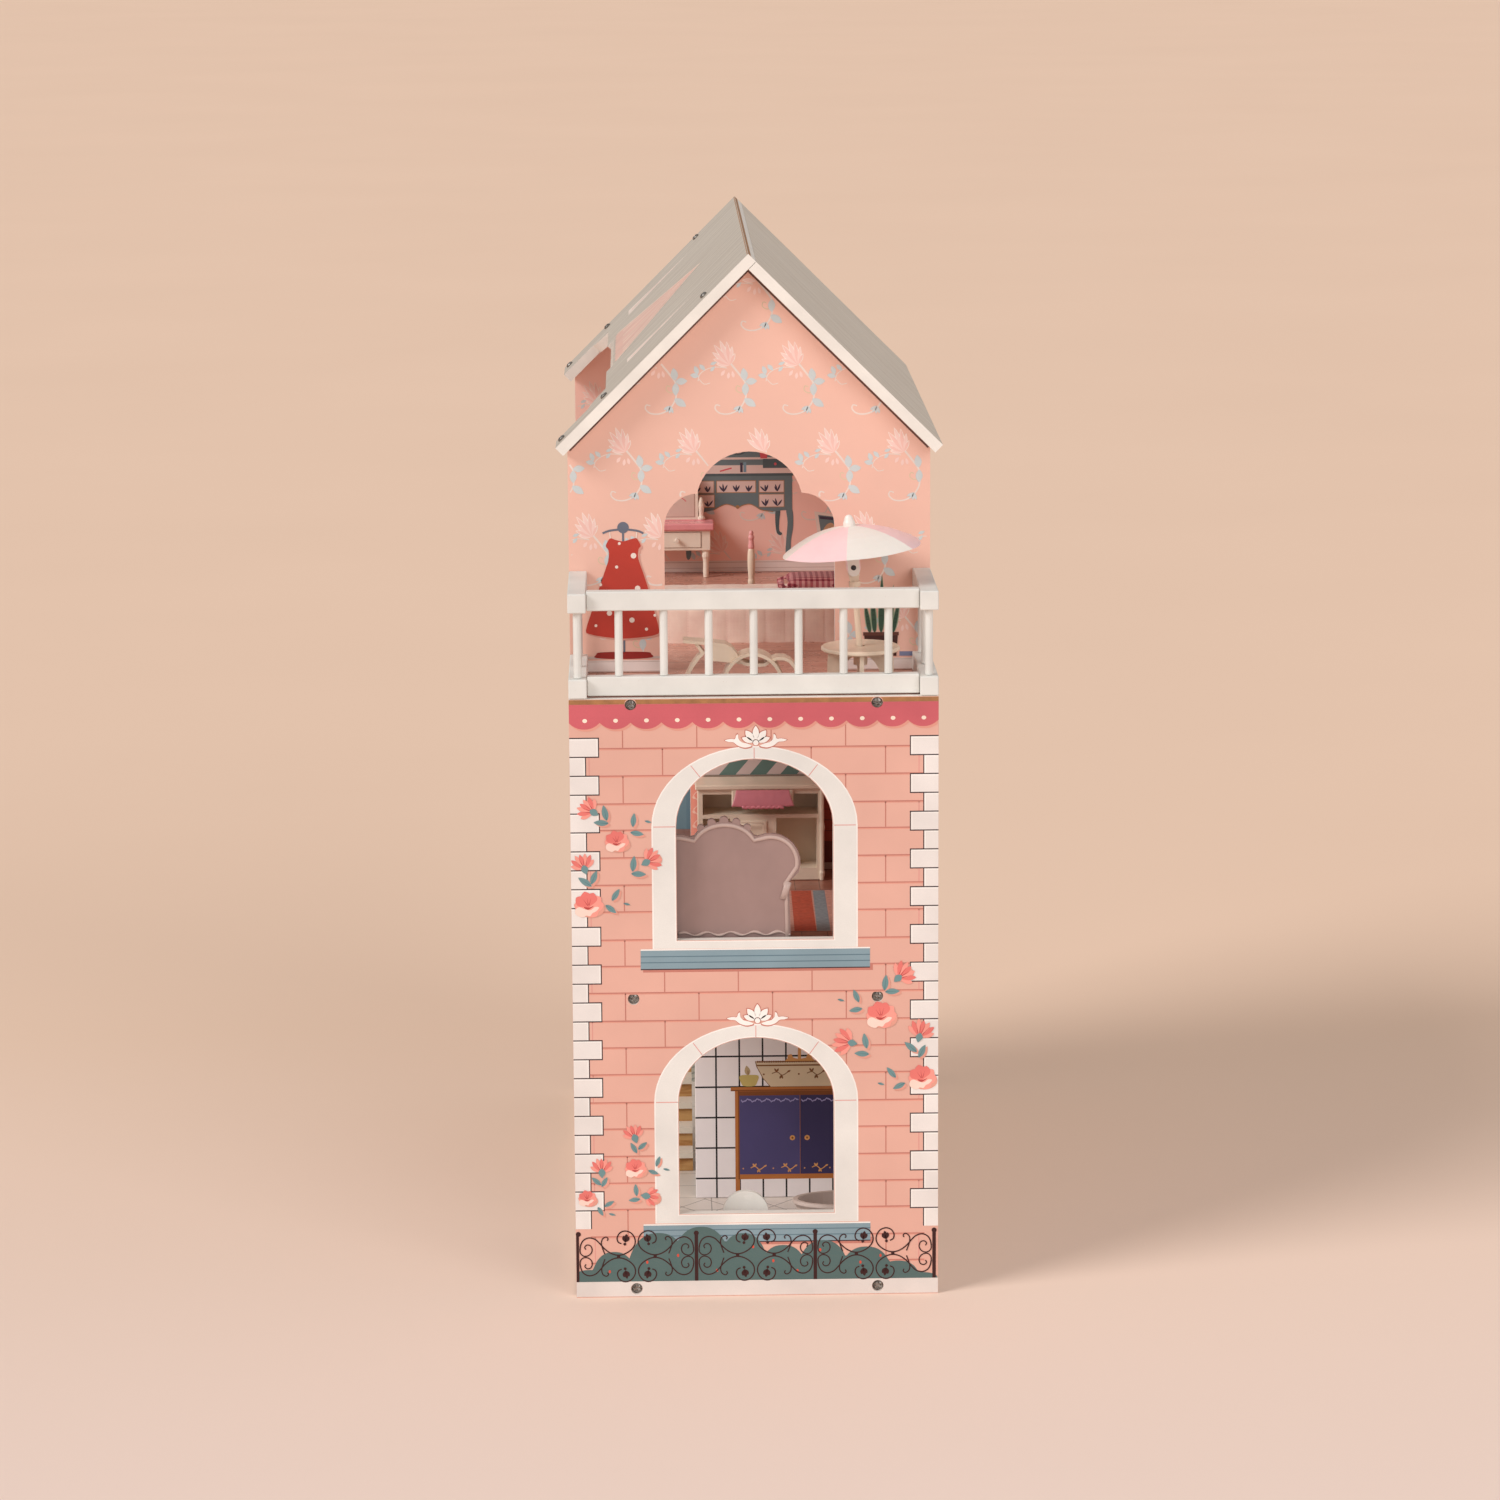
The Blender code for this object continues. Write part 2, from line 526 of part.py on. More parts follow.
join(canopy,
     tilted_prism("canopy_cheek_a", hub, py - 3.2, py - 1.7, CREAM),
     tilted_prism("canopy_cheek_b", hub, py + 1.7, py + 3.2, CREAM),
     tilted_prism("canopy_bridge", [(-5.0, pz + 8.0), (5.0, pz + 8.0), (5.0, pz + 12.0), (3.2, pz + 29.5), (-3.2, pz + 29.5), (-5.0, pz + 12.0)], py - 2.5, py + 2.5, CREAM),
     rod("canopy_pin", (px, py - 2.6, pz), (px, py + 2.6, pz), 1.5, STEEL, seg=12),
     lathe("canopy_finial", [(0, CROWN_Z - 3), (4.6, CROWN_Z - 3), (4.6, CROWN_Z + 0.6), (4.3, CROWN_Z + 2.6), (3.5, CROWN_Z + 4.4), (3.0, CROWN_Z + 6.0), (2.2, CROWN_Z + 7.3), (1.1, CROWN_Z + 7.9), (0, CROWN_Z + 8.1)],
           (px, py), CREAM, seg=14, tilt=tilt))

# lounge chair: a bent seat strip, closed at its sides under the back, on a broad bowed hoop and a curved rear leg
CHAIR_Y = 46.0
seat = [(-50.8, 489.6), (-43.0, 488.8), (-35.2, 488.1), (-27.8, 487.4), (-20.5, 486.4), (-16.0, 484.0), (-12.6, 479.6), (-9.8, 475.2), (-6.0, 472.4),
        (1.5, 471.1), (9.0, 471.5), (13.2, 474.2), (17.9, 476.1), (23.6, 475.9), (27.6, 474.0), (30.9, 470.0), (33.4, 463.6), (34.6, 455.6)]
chair = sweep("lounge_chair", [(x, CHAIR_Y, z) for x, z in seat], (1.15, 8.2), CREAM)
hoop = [(0.3 + 21.8 * math.cos(math.radians(a)), CHAIR_Y, 455.4 + 24.6 * math.sin(math.radians(a))) for a in range(0, 181, 10)]
rear_leg = [(-36.2, 480.6), (-40.2, 476.4), (-44.3, 470.6), (-48.0, 463.6), (-50.0, 455.6)]
brace = [(-41.6, 487.8), (-38.6, 483.6), (-35.8, 479.8)]
cheek = [(-29.4, 487.2), (-20.4, 486.0), (-15.8, 483.2), (-12.0, 477.6), (-9.0, 474.0), (-5.6, 471.8), (-13.0, 473.0), (-21.0, 474.0), (-29.4, 474.8)]
join(chair,
     sweep("chair_hoop", hoop, (1.2, 12.0), CREAM),
     sweep("chair_rear_leg", [(x, CHAIR_Y, z) for x, z in rear_leg], (1.3, 6.4), CREAM),
     sweep("chair_brace", [(x, CHAIR_Y, z) for x, z in brace], (1.1, 6.2), CREAM),
     prism("chair_cheek_near", cheek, "y", CHAIR_Y - 7.9, CHAIR_Y - 6.5, CREAM),
     prism("chair_cheek_far", cheek, "y", CHAIR_Y + 6.5, CHAIR_Y + 7.9, CREAM))

# ---------------------------------------------------------------- attic: vanity, bed, stand
VX, VY = (-82.0, -20.0), (545.0, 573.0)
VT = 500.4               # vanity table's top
vanity = box("vanity_table", (VX[0], VY[0], VT - 5.8), (VX[1], VY[1], VT), CREAM, bevel=1.0)
vb = [box("vanity_case", (VX[0] + 3, VY[0] + 3, VT - 23.0), (VX[1] - 3, VY[1] - 2, VT - 5.0), CREAM, bevel=0.4)]
for i, (x, y) in enumerate(((VX[0] + 7, VY[0] + 7), (VX[1] - 7, VY[0] + 7), (VX[0] + 7, VY[1] - 6), (VX[1] - 7, VY[1] - 6))):
    vb.append(lathe(f"vanity_leg_{i}", [(0, deck), (2.1, deck), (2.4, deck + 3), (2.3, deck + 13), (2.6, deck + 15.5), (3.3, deck + 17.5), (3.3, deck + 20), (2.7, deck + 22), (3.1, VT - 21.0), (0, VT - 21.0)], (x, y), CREAM, seg=12))
mx = (VX[0] + VX[1]) / 2
mirror = [(mx - 18, VT - 1.0), (mx + 18, VT - 1.0), (mx + 18, VT + 28.0)] + arc(mx, VT + 28.0, 18.0, 15, 165, 10) + [(mx - 18, VT + 28.0)]
vb.append(prism("vanity_mirror", mirror, "y", 566.0, 570.0, CREAM))
for i, sx in enumerate((-1, 1)):
    vb.append(lathe(f"vanity_post_{i}", [(0, VT - 1.0), (3.4, VT - 1.0), (3.4, VT + 2.0), (2.2, VT + 4.0), (2.9, VT + 12.0), (2.2, VT + 16.0), (1.4, VT + 18.5), (0, VT + 19.5)], (mx + sx * 20.5, 568.0), CREAM, seg=12))
join(vanity, *vb)
DR = ((VX[0] + 11.0, VX[1] - 11.0), (VY[0] + 2.4, VY[0] + 24.0), (VT - 20.4, VT - 7.6))
cut(vanity, box("drawer_bay", (DR[0][0] - 0.4, VY[0] - 5, DR[2][0] - 0.4), (DR[0][1] + 0.4, DR[1][1] + 0.6, DR[2][1] + 0.4), None, hidden=True))
drawer = box("vanity_drawer", (DR[0][0], DR[1][0], DR[2][0]), (DR[0][1], DR[1][1], DR[2][1]), CREAM, bevel=0.3)
cut(drawer, box("drawer_inside", (DR[0][0] + 1.4, DR[1][0] + 2.2, DR[2][0] + 1.4), (DR[0][1] - 1.4, DR[1][1] - 1.4, DR[2][1] + 4), None, hidden=True))
kz = (DR[2][0] + DR[2][1]) / 2
join(drawer,
     rod("drawer_knob_stem", (mx, DR[1][0] + 0.8, kz), (mx, DR[1][0] - 3.2, kz), 1.0, CREAM, seg=10),
     rod("drawer_knob", (mx, DR[1][0] - 2.2, kz), (mx, DR[1][0] - 4.6, kz), 2.1, CREAM, seg=14, r1=1.5))

BX, BY = (-66.0, 112.0), (236.0, 334.0)
bed = box("bed_frame", (BX[0] + 3, BY[0] + 4, 462.0), (BX[1] - 3, BY[1] - 4, 470.0), CREAM, bevel=0.5)
bb = []
for i, (x, y) in enumerate(((BX[0] + 4, BY[0] + 5), (BX[0] + 4, BY[1] - 5), (BX[1] - 5, BY[0] + 5), (BX[1] - 5, BY[1] - 5))):
    hi = 472.0 if i < 2 else 524.0
    prof = [(0, deck), (2.4, deck), (3.4, deck + 6), (3.0, 470.0)]
    prof += [(0, hi)] if i < 2 else [(3.4, 490.0), (2.6, 500.0), (3.4, 508.0), (2.2, 511.0), (3.0, 515.0), (1.6, 521.0), (0, hi)]
    bb.append(lathe(f"bed_post_{i}", prof, (x, y), CREAM, seg=12))
hy = (BY[0] + BY[1]) / 2
hb = [(BY[0] + 5, 466.0), (BY[1] - 5, 466.0), (BY[1] - 5, 498.0)] + [(hy + 40 * math.cos(math.radians(a)), 498 + 18 * math.sin(math.radians(a))) for a in range(15, 166, 15)] + [(BY[0] + 5, 498.0)]
bb.append(prism("bed_headboard", hb, "x", BX[1] - 7, BX[1] - 3, CREAM))
join(bed, *bb)

# soft pieces: plain solids of the space they fill
quilt = [(BY[0] - 3.0, 458.0), (BY[0] + 0.0, 458.0), (BY[0] + 0.0, 473.5), (BY[1] + 0.0, 473.5), (BY[1] + 0.0, 458.0), (BY[1] + 3.0, 458.0), (BY[1] + 3.0, 481.0), (BY[1] - 4.0, 485.0), (BY[0] + 4.0, 485.0), (BY[0] - 3.0, 481.0)]
prism("bed_quilt", quilt, "x", BX[0] - 2.0, BX[1] - 12.0, QUILT)
box("bed_pillow", (24.0, 252.0, 486.0), (85.0, 314.0, 502.0), GINGHAM, bevel=4.0)

stand = [(0, 0), (9.0, 0), (9.0, 1.6), (3.8, 3.6), (2.9, 6.5), (2.6, 12), (2.3, 22), (2.9, 25.2), (2.9, 26.6), (2.4, 28.6), (2.8, 34), (3.05, 41), (3.05, 47), (2.6, 51.6), (2.2, 52.6),
         (2.6, 54.2), (2.15, 57.0), (1.9, 59.8), (2.45, 61.2), (2.4, 62.4), (1.7, 63.8), (1.9, 65.2), (1.2, 67.0), (0, 67.5)]
lathe("coat_stand", [(r, deck + z) for r, z in stand], (7.0, 366.0), CREAM, seg=16)

# ---------------------------------------------------------------- first floor: hutch and bed with a crowned headboard
first = MID_Z + BOARD + GAP
HX, HY, HTOP = (-37.5, 64.0), (373.0, PART_F_Y - 2.0), 313.0
hutch = box("hutch", (HX[0], HY[0], first), (HX[1], HY[1], HTOP - 3), CREAM, bevel=0.5)
cuts = [((HX[0] + 4, HTOP - 25), (HX[1] - 4, HTOP - 8)),
        ((HX[0] + 4, first + 30), (HX[0] + 26, HTOP - 28)),
        ((HX[1] - 38, first + 10), (HX[1] - 5, HTOP - 28))]
for i, ((xa, za), (xb, zb)) in enumerate(cuts):
    cut(hutch, box(f"hutch_bay_{i}", (xa, HY[0] - 4, za), (xb, HY[1] - 4, zb), None, hidden=True))
join(hutch, box("hutch_cornice", (HX[0] - 2, HY[0] - 3, HTOP - 4), (HX[1] + 2, HY[1], HTOP), CREAM, bevel=0.8),
     lathe("hutch_post", [(0, first), (1.6, first), (2.4, first + 6), (1.8, first + 8), (1.8, first + 40), (2.4, first + 44), (1.8, first + 48), (1.8, HTOP - 3.5), (0, HTOP - 3.5)], (HX[1] - 1.0, HY[0] - 0.4), CREAM, seg=10),
     box("hutch_door_frame", (HX[0] + 28.5, HY[0] - 1.2, first + 26), (HX[0] + 56, HY[0] + 1, HTOP - 30), CREAM, bevel=0.5),
     box("hutch_valance", (-10.0, HY[0] - 2.4, HTOP - 18), (40.0, HY[0] + 3.0, HTOP - 4), PINK, bevel=0.8))

CX, CW = -22.2, 56.2
CY = (13.0, 17.5)


def crown(c, w, zb, k=1.0):
    """Headboard outline: a middle arch between two lower lobes."""
    pts = [(c - w + 7, zb), (c + w - 7, zb), (c + w - 8, 300.0), (c + w - 9, 313.0)]
    pts += [(c + w - 22.0 + 22.0 * math.cos(math.radians(a)), 328.0 + 21.8 * math.sin(math.radians(a))) for a in range(-20, 116, 15)]
    pts += [(c + 25.5 * math.cos(math.radians(a)) * 1.0, 338.0 + 21.0 * math.sin(math.radians(a))) for a in range(30, 151, 12)]
    pts += [(c - w + 22.0 - 22.0 * math.cos(math.radians(a)), 328.0 + 21.8 * math.sin(math.radians(a))) for a in range(115, -21, -15)]
    pts += [(c - w + 9, 313.0), (c - w + 8, 300.0)]
    return pts


crown_bed = prism("crown_bed", crown(CX, CW, first), "y", CY[0], CY[1], MAUVE)
cb = [box("crown_bed_base", (CX - 46, CY[1] - 1, first + 6), (CX + 46, 188, first + 30), MAUVE, bevel=1.0),
      box("crown_bed_mattress", (CX - 44, CY[1] - 0.5, first + 29), (CX + 44, 186, first + 40), MAUVE, bevel=3.0)]
for i, (x, y) in enumerate(((CX - 42, 184), (CX + 42, 184))):
    cb.append(lathe(f"crown_bed_leg_{i}", [(0, first), (2.6, first), (4.0, first + 8), (0, first + 10)], (x, y), MAUVE, seg=12))
for i in range(5):
    a = math.radians(90 + (i - 2) * 21)
    cb.append(rod(f"crown_bead_{i}", (CX + 25.5 * math.cos(a), CY[0], 338.6 + 21.0 * math.sin(a)), (CX + 25.5 * math.cos(a), CY[1], 338.6 + 21.0 * math.sin(a)), 3.4 - 0.3 * abs(i - 2), MAUVE, seg=12))
join(crown_bed, *cb)

# ---------------------------------------------------------------- ground floor: toilet with a raised lid, bath tub
ground = BASE_Z + BOARD + GAP
WX, WY = -7.8, 54.0


def oval(cx, cy, a, b, n=28):
    return [(cx + a * math.cos(2 * math.pi * i / n), cy + b * math.sin(2 * math.pi * i / n)) for i in range(n)]


def lofted(name, levels, mat, hidden=False):
    """A closed solid through stacked outlines of equal point count: (z, outline)."""
    bm = bmesh.new()
    rings = [[bm.verts.new(place(x, y, z)) for x, y in pts] for z, pts in levels]
    k = len(rings[0])
    for a, b in zip(rings, rings[1:]):
        for t in range(k):
            u = (t + 1) % k
            bm.faces.new((a[t], a[u], b[u], b[t]))
    bm.faces.new(rings[0][::-1])
    bm.faces.new(rings[-1])
    return finish(bm, name, mat, smooth=True, hidden=hidden, angle=30)


toilet = lofted("toilet", [(ground, oval(WX, WY - 2, 9, 13)), (ground + 8, oval(WX, WY - 1, 8, 12)), (ground + 17, oval(WX, WY, 14.5, 17.5)), (ground + 22, oval(WX, WY, 16.4, 19.5)), (ground + 24, oval(WX, WY, 16.4, 19.5))], WHITE)
cut(toilet, lofted("toilet_bowl", [(ground + 9, oval(WX, WY + 2, 5, 7)), (ground + 16, oval(WX, WY + 2, 9.5, 12)), (ground + 32, oval(WX, WY + 2, 10.5, 13))], None, hidden=True))
join(toilet, box("toilet_shelf", (WX - 15, 27.5, ground + 13), (WX + 15, 40, ground + 23.6), WHITE, bevel=1.2))
LID_Z, LID_Y = ground + 28.0, 33.0
lid = [(WX - 16.4, LID_Z - 2.4), (WX + 16.4, LID_Z - 2.4), (WX + 16.9, LID_Z + 18)] + [(WX + 16.9 * math.cos(math.radians(a)), LID_Z + 18 + 16.6 * math.sin(math.radians(a))) for a in range(10, 171, 10)] + [(WX - 16.9, LID_Z + 18)]
lid_ob = prism("toilet_lid", lid, "y", LID_Y - 1.6, LID_Y + 1.6, WHITE)
lean_back = math.radians(7)
for v in lid_ob.data.vertices:
    dy, dz = v.co.y - (LID_Y - LENGTH / 2) * MM, v.co.z - LID_Z * MM
    v.co.y = (LID_Y - LENGTH / 2) * MM + dy * math.cos(lean_back) - dz * math.sin(lean_back)
    v.co.z = LID_Z * MM + dy * math.sin(lean_back) + dz * math.cos(lean_back)

TX, TY = 75.0, 36.0
tub = lofted("bathtub", [(ground, oval(TX, TY, 30, 13, 32)), (ground + 4, oval(TX, TY, 33, 15, 32)), (ground + 30, oval(TX, TY, 41, 18.6, 32)), (ground + 48, oval(TX, TY, 45, 20.4, 32)), (ground + 51, oval(TX, TY, 47.4, 22.4, 32)), (ground + 53.5, oval(TX, TY, 47, 22, 32))], WHITE)
cut(tub, lofted("tub_inside", [(ground + 8, oval(TX, TY, 27, 11.6, 32)), (ground + 14, oval(TX, TY, 33, 14.4, 32)), (ground + 40, oval(TX, TY, 41, 17.6, 32)), (ground + 60, oval(TX, TY, 45, 20, 32))], None, hidden=True))
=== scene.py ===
import math
import random

import bmesh
import bpy
from mathutils import Matrix, Vector


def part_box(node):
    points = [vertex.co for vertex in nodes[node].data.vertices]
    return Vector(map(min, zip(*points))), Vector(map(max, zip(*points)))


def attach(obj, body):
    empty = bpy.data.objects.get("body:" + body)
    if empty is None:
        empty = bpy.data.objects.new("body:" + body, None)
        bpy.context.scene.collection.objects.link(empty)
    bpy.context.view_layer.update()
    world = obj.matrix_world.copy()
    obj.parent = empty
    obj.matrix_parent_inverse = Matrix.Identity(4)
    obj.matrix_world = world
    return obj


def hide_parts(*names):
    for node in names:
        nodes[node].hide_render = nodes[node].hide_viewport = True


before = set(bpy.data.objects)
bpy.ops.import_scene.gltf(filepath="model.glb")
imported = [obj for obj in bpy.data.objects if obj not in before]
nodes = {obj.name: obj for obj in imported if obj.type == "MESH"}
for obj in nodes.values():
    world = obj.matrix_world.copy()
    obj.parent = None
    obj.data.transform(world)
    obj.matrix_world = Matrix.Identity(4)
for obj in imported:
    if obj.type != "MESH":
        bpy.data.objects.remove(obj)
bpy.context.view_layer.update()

random.seed(11)
scene = bpy.context.scene


def P(x, y, z):
    """House millimetres (y counted from the front wall's outer face) to the frame's metres."""
    return Vector((x / 1000.0, (y - 300.0) / 1000.0, z / 1000.0))


def lin(c):
    return tuple((v / 255 / 12.92) if v <= 10.31 else ((v / 255 + 0.055) / 1.055) ** 2.4 for v in c) + (1.0,)


def shade(c, k):
    return tuple(max(0, min(255, v * k)) for v in c)


# ---------------------------------------------------------------- camera, light, floor
cam_data = bpy.data.cameras.new("camera")
cam = bpy.data.objects.new("camera", cam_data)
scene.collection.objects.link(cam)
YAW, PITCH, ROLL = -0.021791, 0.195673, -0.006336
fwd = Vector((-math.sin(YAW) * math.cos(PITCH), math.cos(YAW) * math.cos(PITCH), -math.sin(PITCH)))
right = Vector((math.cos(YAW), math.sin(YAW), 0.0))
up = right.cross(fwd)
cam_x = math.cos(ROLL) * right + math.sin(ROLL) * up
cam_y = -math.sin(ROLL) * right + math.cos(ROLL) * up
m = Matrix((cam_x, cam_y, -fwd)).transposed().to_4x4()
m.translation = Vector((-0.079687, -3.818848, 1.112987))
cam.matrix_world = m
cam_data.sensor_width = 36.0
cam_data.lens = 4912.541 / 1500 * 36.0
cam_data.clip_start, cam_data.clip_end = 0.05, 200
scene.camera = cam
scene.view_settings.view_transform = "Standard"
scene.view_settings.look = "None"
scene.view_settings.exposure = 0.0
scene.view_settings.gamma = 1.0

world = bpy.data.worlds.new("studio")
scene.world = world
world.use_nodes = True
world.node_tree.nodes["Background"].inputs[0].default_value = (0.98, 0.958, 0.94, 1)
world.node_tree.nodes["Background"].inputs[1].default_value = 0.435


def sun(name, towards, strength, angle, colour):
    data = bpy.data.lights.new(name, "SUN")
    data.energy, data.angle, data.color = strength, math.radians(angle), colour
    ob = bpy.data.objects.new(name, data)
    ob.rotation_mode = "QUATERNION"
    ob.rotation_quaternion = Vector(towards).to_track_quat("Z", "Y")
    scene.collection.objects.link(ob)


sun("key", (-20, -11.5, 16), 1.80, 26, (1.0, 0.985, 0.97))
sun("fill", (12, -20, 9), 0.95, 40, (1.0, 0.98, 0.965))


# ---------------------------------------------------------------- materials
class Nodes:
    """A short way to write node materials."""

    def __init__(self, name):
        self.mat = bpy.data.materials.new(name)
        self.mat.use_nodes = True
        self.t = self.mat.node_tree
        self.b = self.t.nodes["Principled BSDF"]
        self.tex = self.t.nodes.new("ShaderNodeTexCoord")
        self.co = self.tex.outputs["Object"]

    def new(self, kind, **props):
        n = self.t.nodes.new("ShaderNode" + kind)
        for k, v in props.items():
            setattr(n, k, v)
        return n

    def put(self, socket, value):
        if hasattr(value, "is_linked") or isinstance(value, bpy.types.NodeSocket):
            self.t.links.new(value, socket)
        else:
            socket.default_value = value

    def math(self, op, a, b=0.0, c=0.0, clamp=False):
        n = self.new("Math", operation=op, use_clamp=clamp)
        self.put(n.inputs[0], a)
        self.put(n.inputs[1], b)
        self.put(n.inputs[2], c)
        return n.outputs[0]

    def mix(self, fac, a, b):
        n = self.new("Mix", data_type="RGBA", blend_type="MIX")
        self.put(n.inputs[0], fac)
        self.put(n.inputs[6], a)
        self.put(n.inputs[7], b)
        return n.outputs[2]

    def noise(self, scale, detail=3.0, co=None, distortion=0.0, rough=0.5):
        n = self.new("TexNoise")
        self.put(n.inputs["Vector"], co or self.co)
        n.inputs["Scale"].default_value = scale
        n.inputs["Detail"].default_value = detail
        n.inputs["Roughness"].default_value = rough
        n.inputs["Distortion"].default_value = distortion
        return n.outputs["Fac"]

    def wave(self, scale, co=None, distortion=1.0, detail=2.0, axis="X", kind="BANDS", dscale=1.0):
        n = self.new("TexWave", wave_type=kind)
        if kind == "BANDS":
            n.bands_direction = axis
        self.put(n.inputs["Vector"], co or self.co)
        n.inputs["Scale"].default_value = scale
        n.inputs["Distortion"].default_value = distortion
        n.inputs["Detail"].default_value = detail
        n.inputs["Detail Scale"].default_value = dscale
        return n.outputs["Fac"]

    def map(self, v, a, b, c, d):
        n = self.new("MapRange")
        self.put(n.inputs[0], v)
        for i, x in enumerate((a, b, c, d)):
            n.inputs[i + 1].default_value = x
        return n.outputs[0]

    def place(self, scale=(1, 1, 1), loc=(0, 0, 0), rot=(0, 0, 0), co=None):
        n = self.new("Mapping")
        self.put(n.inputs[0], co or self.co)
        n.inputs["Location"].default_value = loc
        n.inputs["Rotation"].default_value = rot
        n.inputs["Scale"].default_value = scale
        return n.outputs[0]

    def xyz(self, v=None):
        n = self.new("SeparateXYZ")
        self.put(n.inputs[0], v or self.co)
        return n.outputs

    def bump(self, height, strength, distance=0.0004):
        n = self.new("Bump")
        n.inputs["Strength"].default_value = strength
        n.inputs["Distance"].default_value = distance
        self.put(n.inputs["Height"], height)
        self.put(self.b.inputs["Normal"], n.outputs[0])

    def done(self, colour, rough, coat=0.0, coat_rough=0.15, sheen=0.0, spec=0.5, metal=0.0, sheen_tint=None, sss=0.0):
        self.put(self.b.inputs["Base Color"], colour)
        self.put(self.b.inputs["Roughness"], rough)
        self.b.inputs["Coat Weight"].default_value = coat
        self.b.inputs["Coat Roughness"].default_value = coat_rough
        self.b.inputs["Sheen Weight"].default_value = sheen
        self.b.inputs["Specular IOR Level"].default_value = spec
        self.b.inputs["Metallic"].default_value = metal
        if sheen_tint:
            self.b.inputs["Sheen Tint"].default_value = sheen_tint
        if sss:
            self.b.inputs["Subsurface Weight"].default_value = sss
            self.b.inputs["Subsurface Radius"].default_value = (1.0, 0.7, 0.55)
            self.b.inputs["Subsurface Scale"].default_value = 0.002
        return self.mat


def ink(name, rgb, var=0.035, rough=0.46, scale=22):
    """Printed, lacquered film: soft tone drift, a fine dot grain and a slight orange peel."""
    n = Nodes(name)
    a = n.map(n.noise(scale, 4), 0.3, 0.7, 0, 1)
    b = n.map(n.noise(1900, 1), 0.35, 0.65, 0, 1)
    base = n.mix(a, lin(shade(rgb, 1 - var)), lin(shade(rgb, 1 + var)))
    col = n.mix(n.math("MULTIPLY", b, 0.22), base, lin(shade(rgb, 1 - var * 1.9)))
    n.bump(n.noise(620, 2), 0.10, 0.0002)
    return n.done(col, n.map(n.noise(90, 2), 0.3, 0.7, rough - 0.05, rough + 0.07), spec=0.38)


def plastic(name, rgb, rough=0.36, var=0.03, coat=0.0, sss=0.0, tint=None):
    """Moulded plastic: tone drift, faint flow marks and a satin skin."""
    n = Nodes(name)
    a = n.map(n.noise(34, 3, distortion=0.6), 0.3, 0.7, 0, 1)
    flow = n.map(n.noise(120, 4, co=n.place((1, 1, 0.25))), 0.35, 0.7, 0, 1)
    base = n.mix(a, lin(shade(rgb, 1 - var)), lin(shade(rgb, 1 + var * 0.8)))
    col = n.mix(n.math("MULTIPLY", flow, 0.25), base, lin(tint or shade(rgb, 1 - var * 2.2)))
    n.bump(n.noise(430, 3), 0.12, 0.00025)
    return n.done(col, n.map(n.noise(60, 3), 0.3, 0.7, rough - 0.05, rough + 0.08), coat=coat, coat_rough=0.2, spec=0.45, sss=sss)


def lacquer(name, rgb, rough=0.42):
    """White painted MDF: brushed coat, faint specks and slightly darker worn spots."""
    n = Nodes(name)
    a = n.map(n.noise(30, 4), 0.3, 0.7, 0, 1)
    speck = n.map(n.noise(700, 2), 0.70, 0.78, 0, 1)
    base = n.mix(a, lin(shade(rgb, 0.965)), lin(shade(rgb, 1.02)))
    col = n.mix(n.math("MULTIPLY", speck, 0.35), base, lin((190, 165, 145)))
    brush = n.noise(190, 3, co=n.place((1, 1, 0.12)))
    n.bump(n.math("ADD", brush, n.math("MULTIPLY", n.noise(800, 2), 0.5)), 0.14, 0.0003)
    return n.done(col, n.map(n.noise(70, 2), 0.3, 0.7, rough - 0.06, rough + 0.08), spec=0.45)


WHITE = (238, 230, 222)
SALMON = (227, 175, 158)


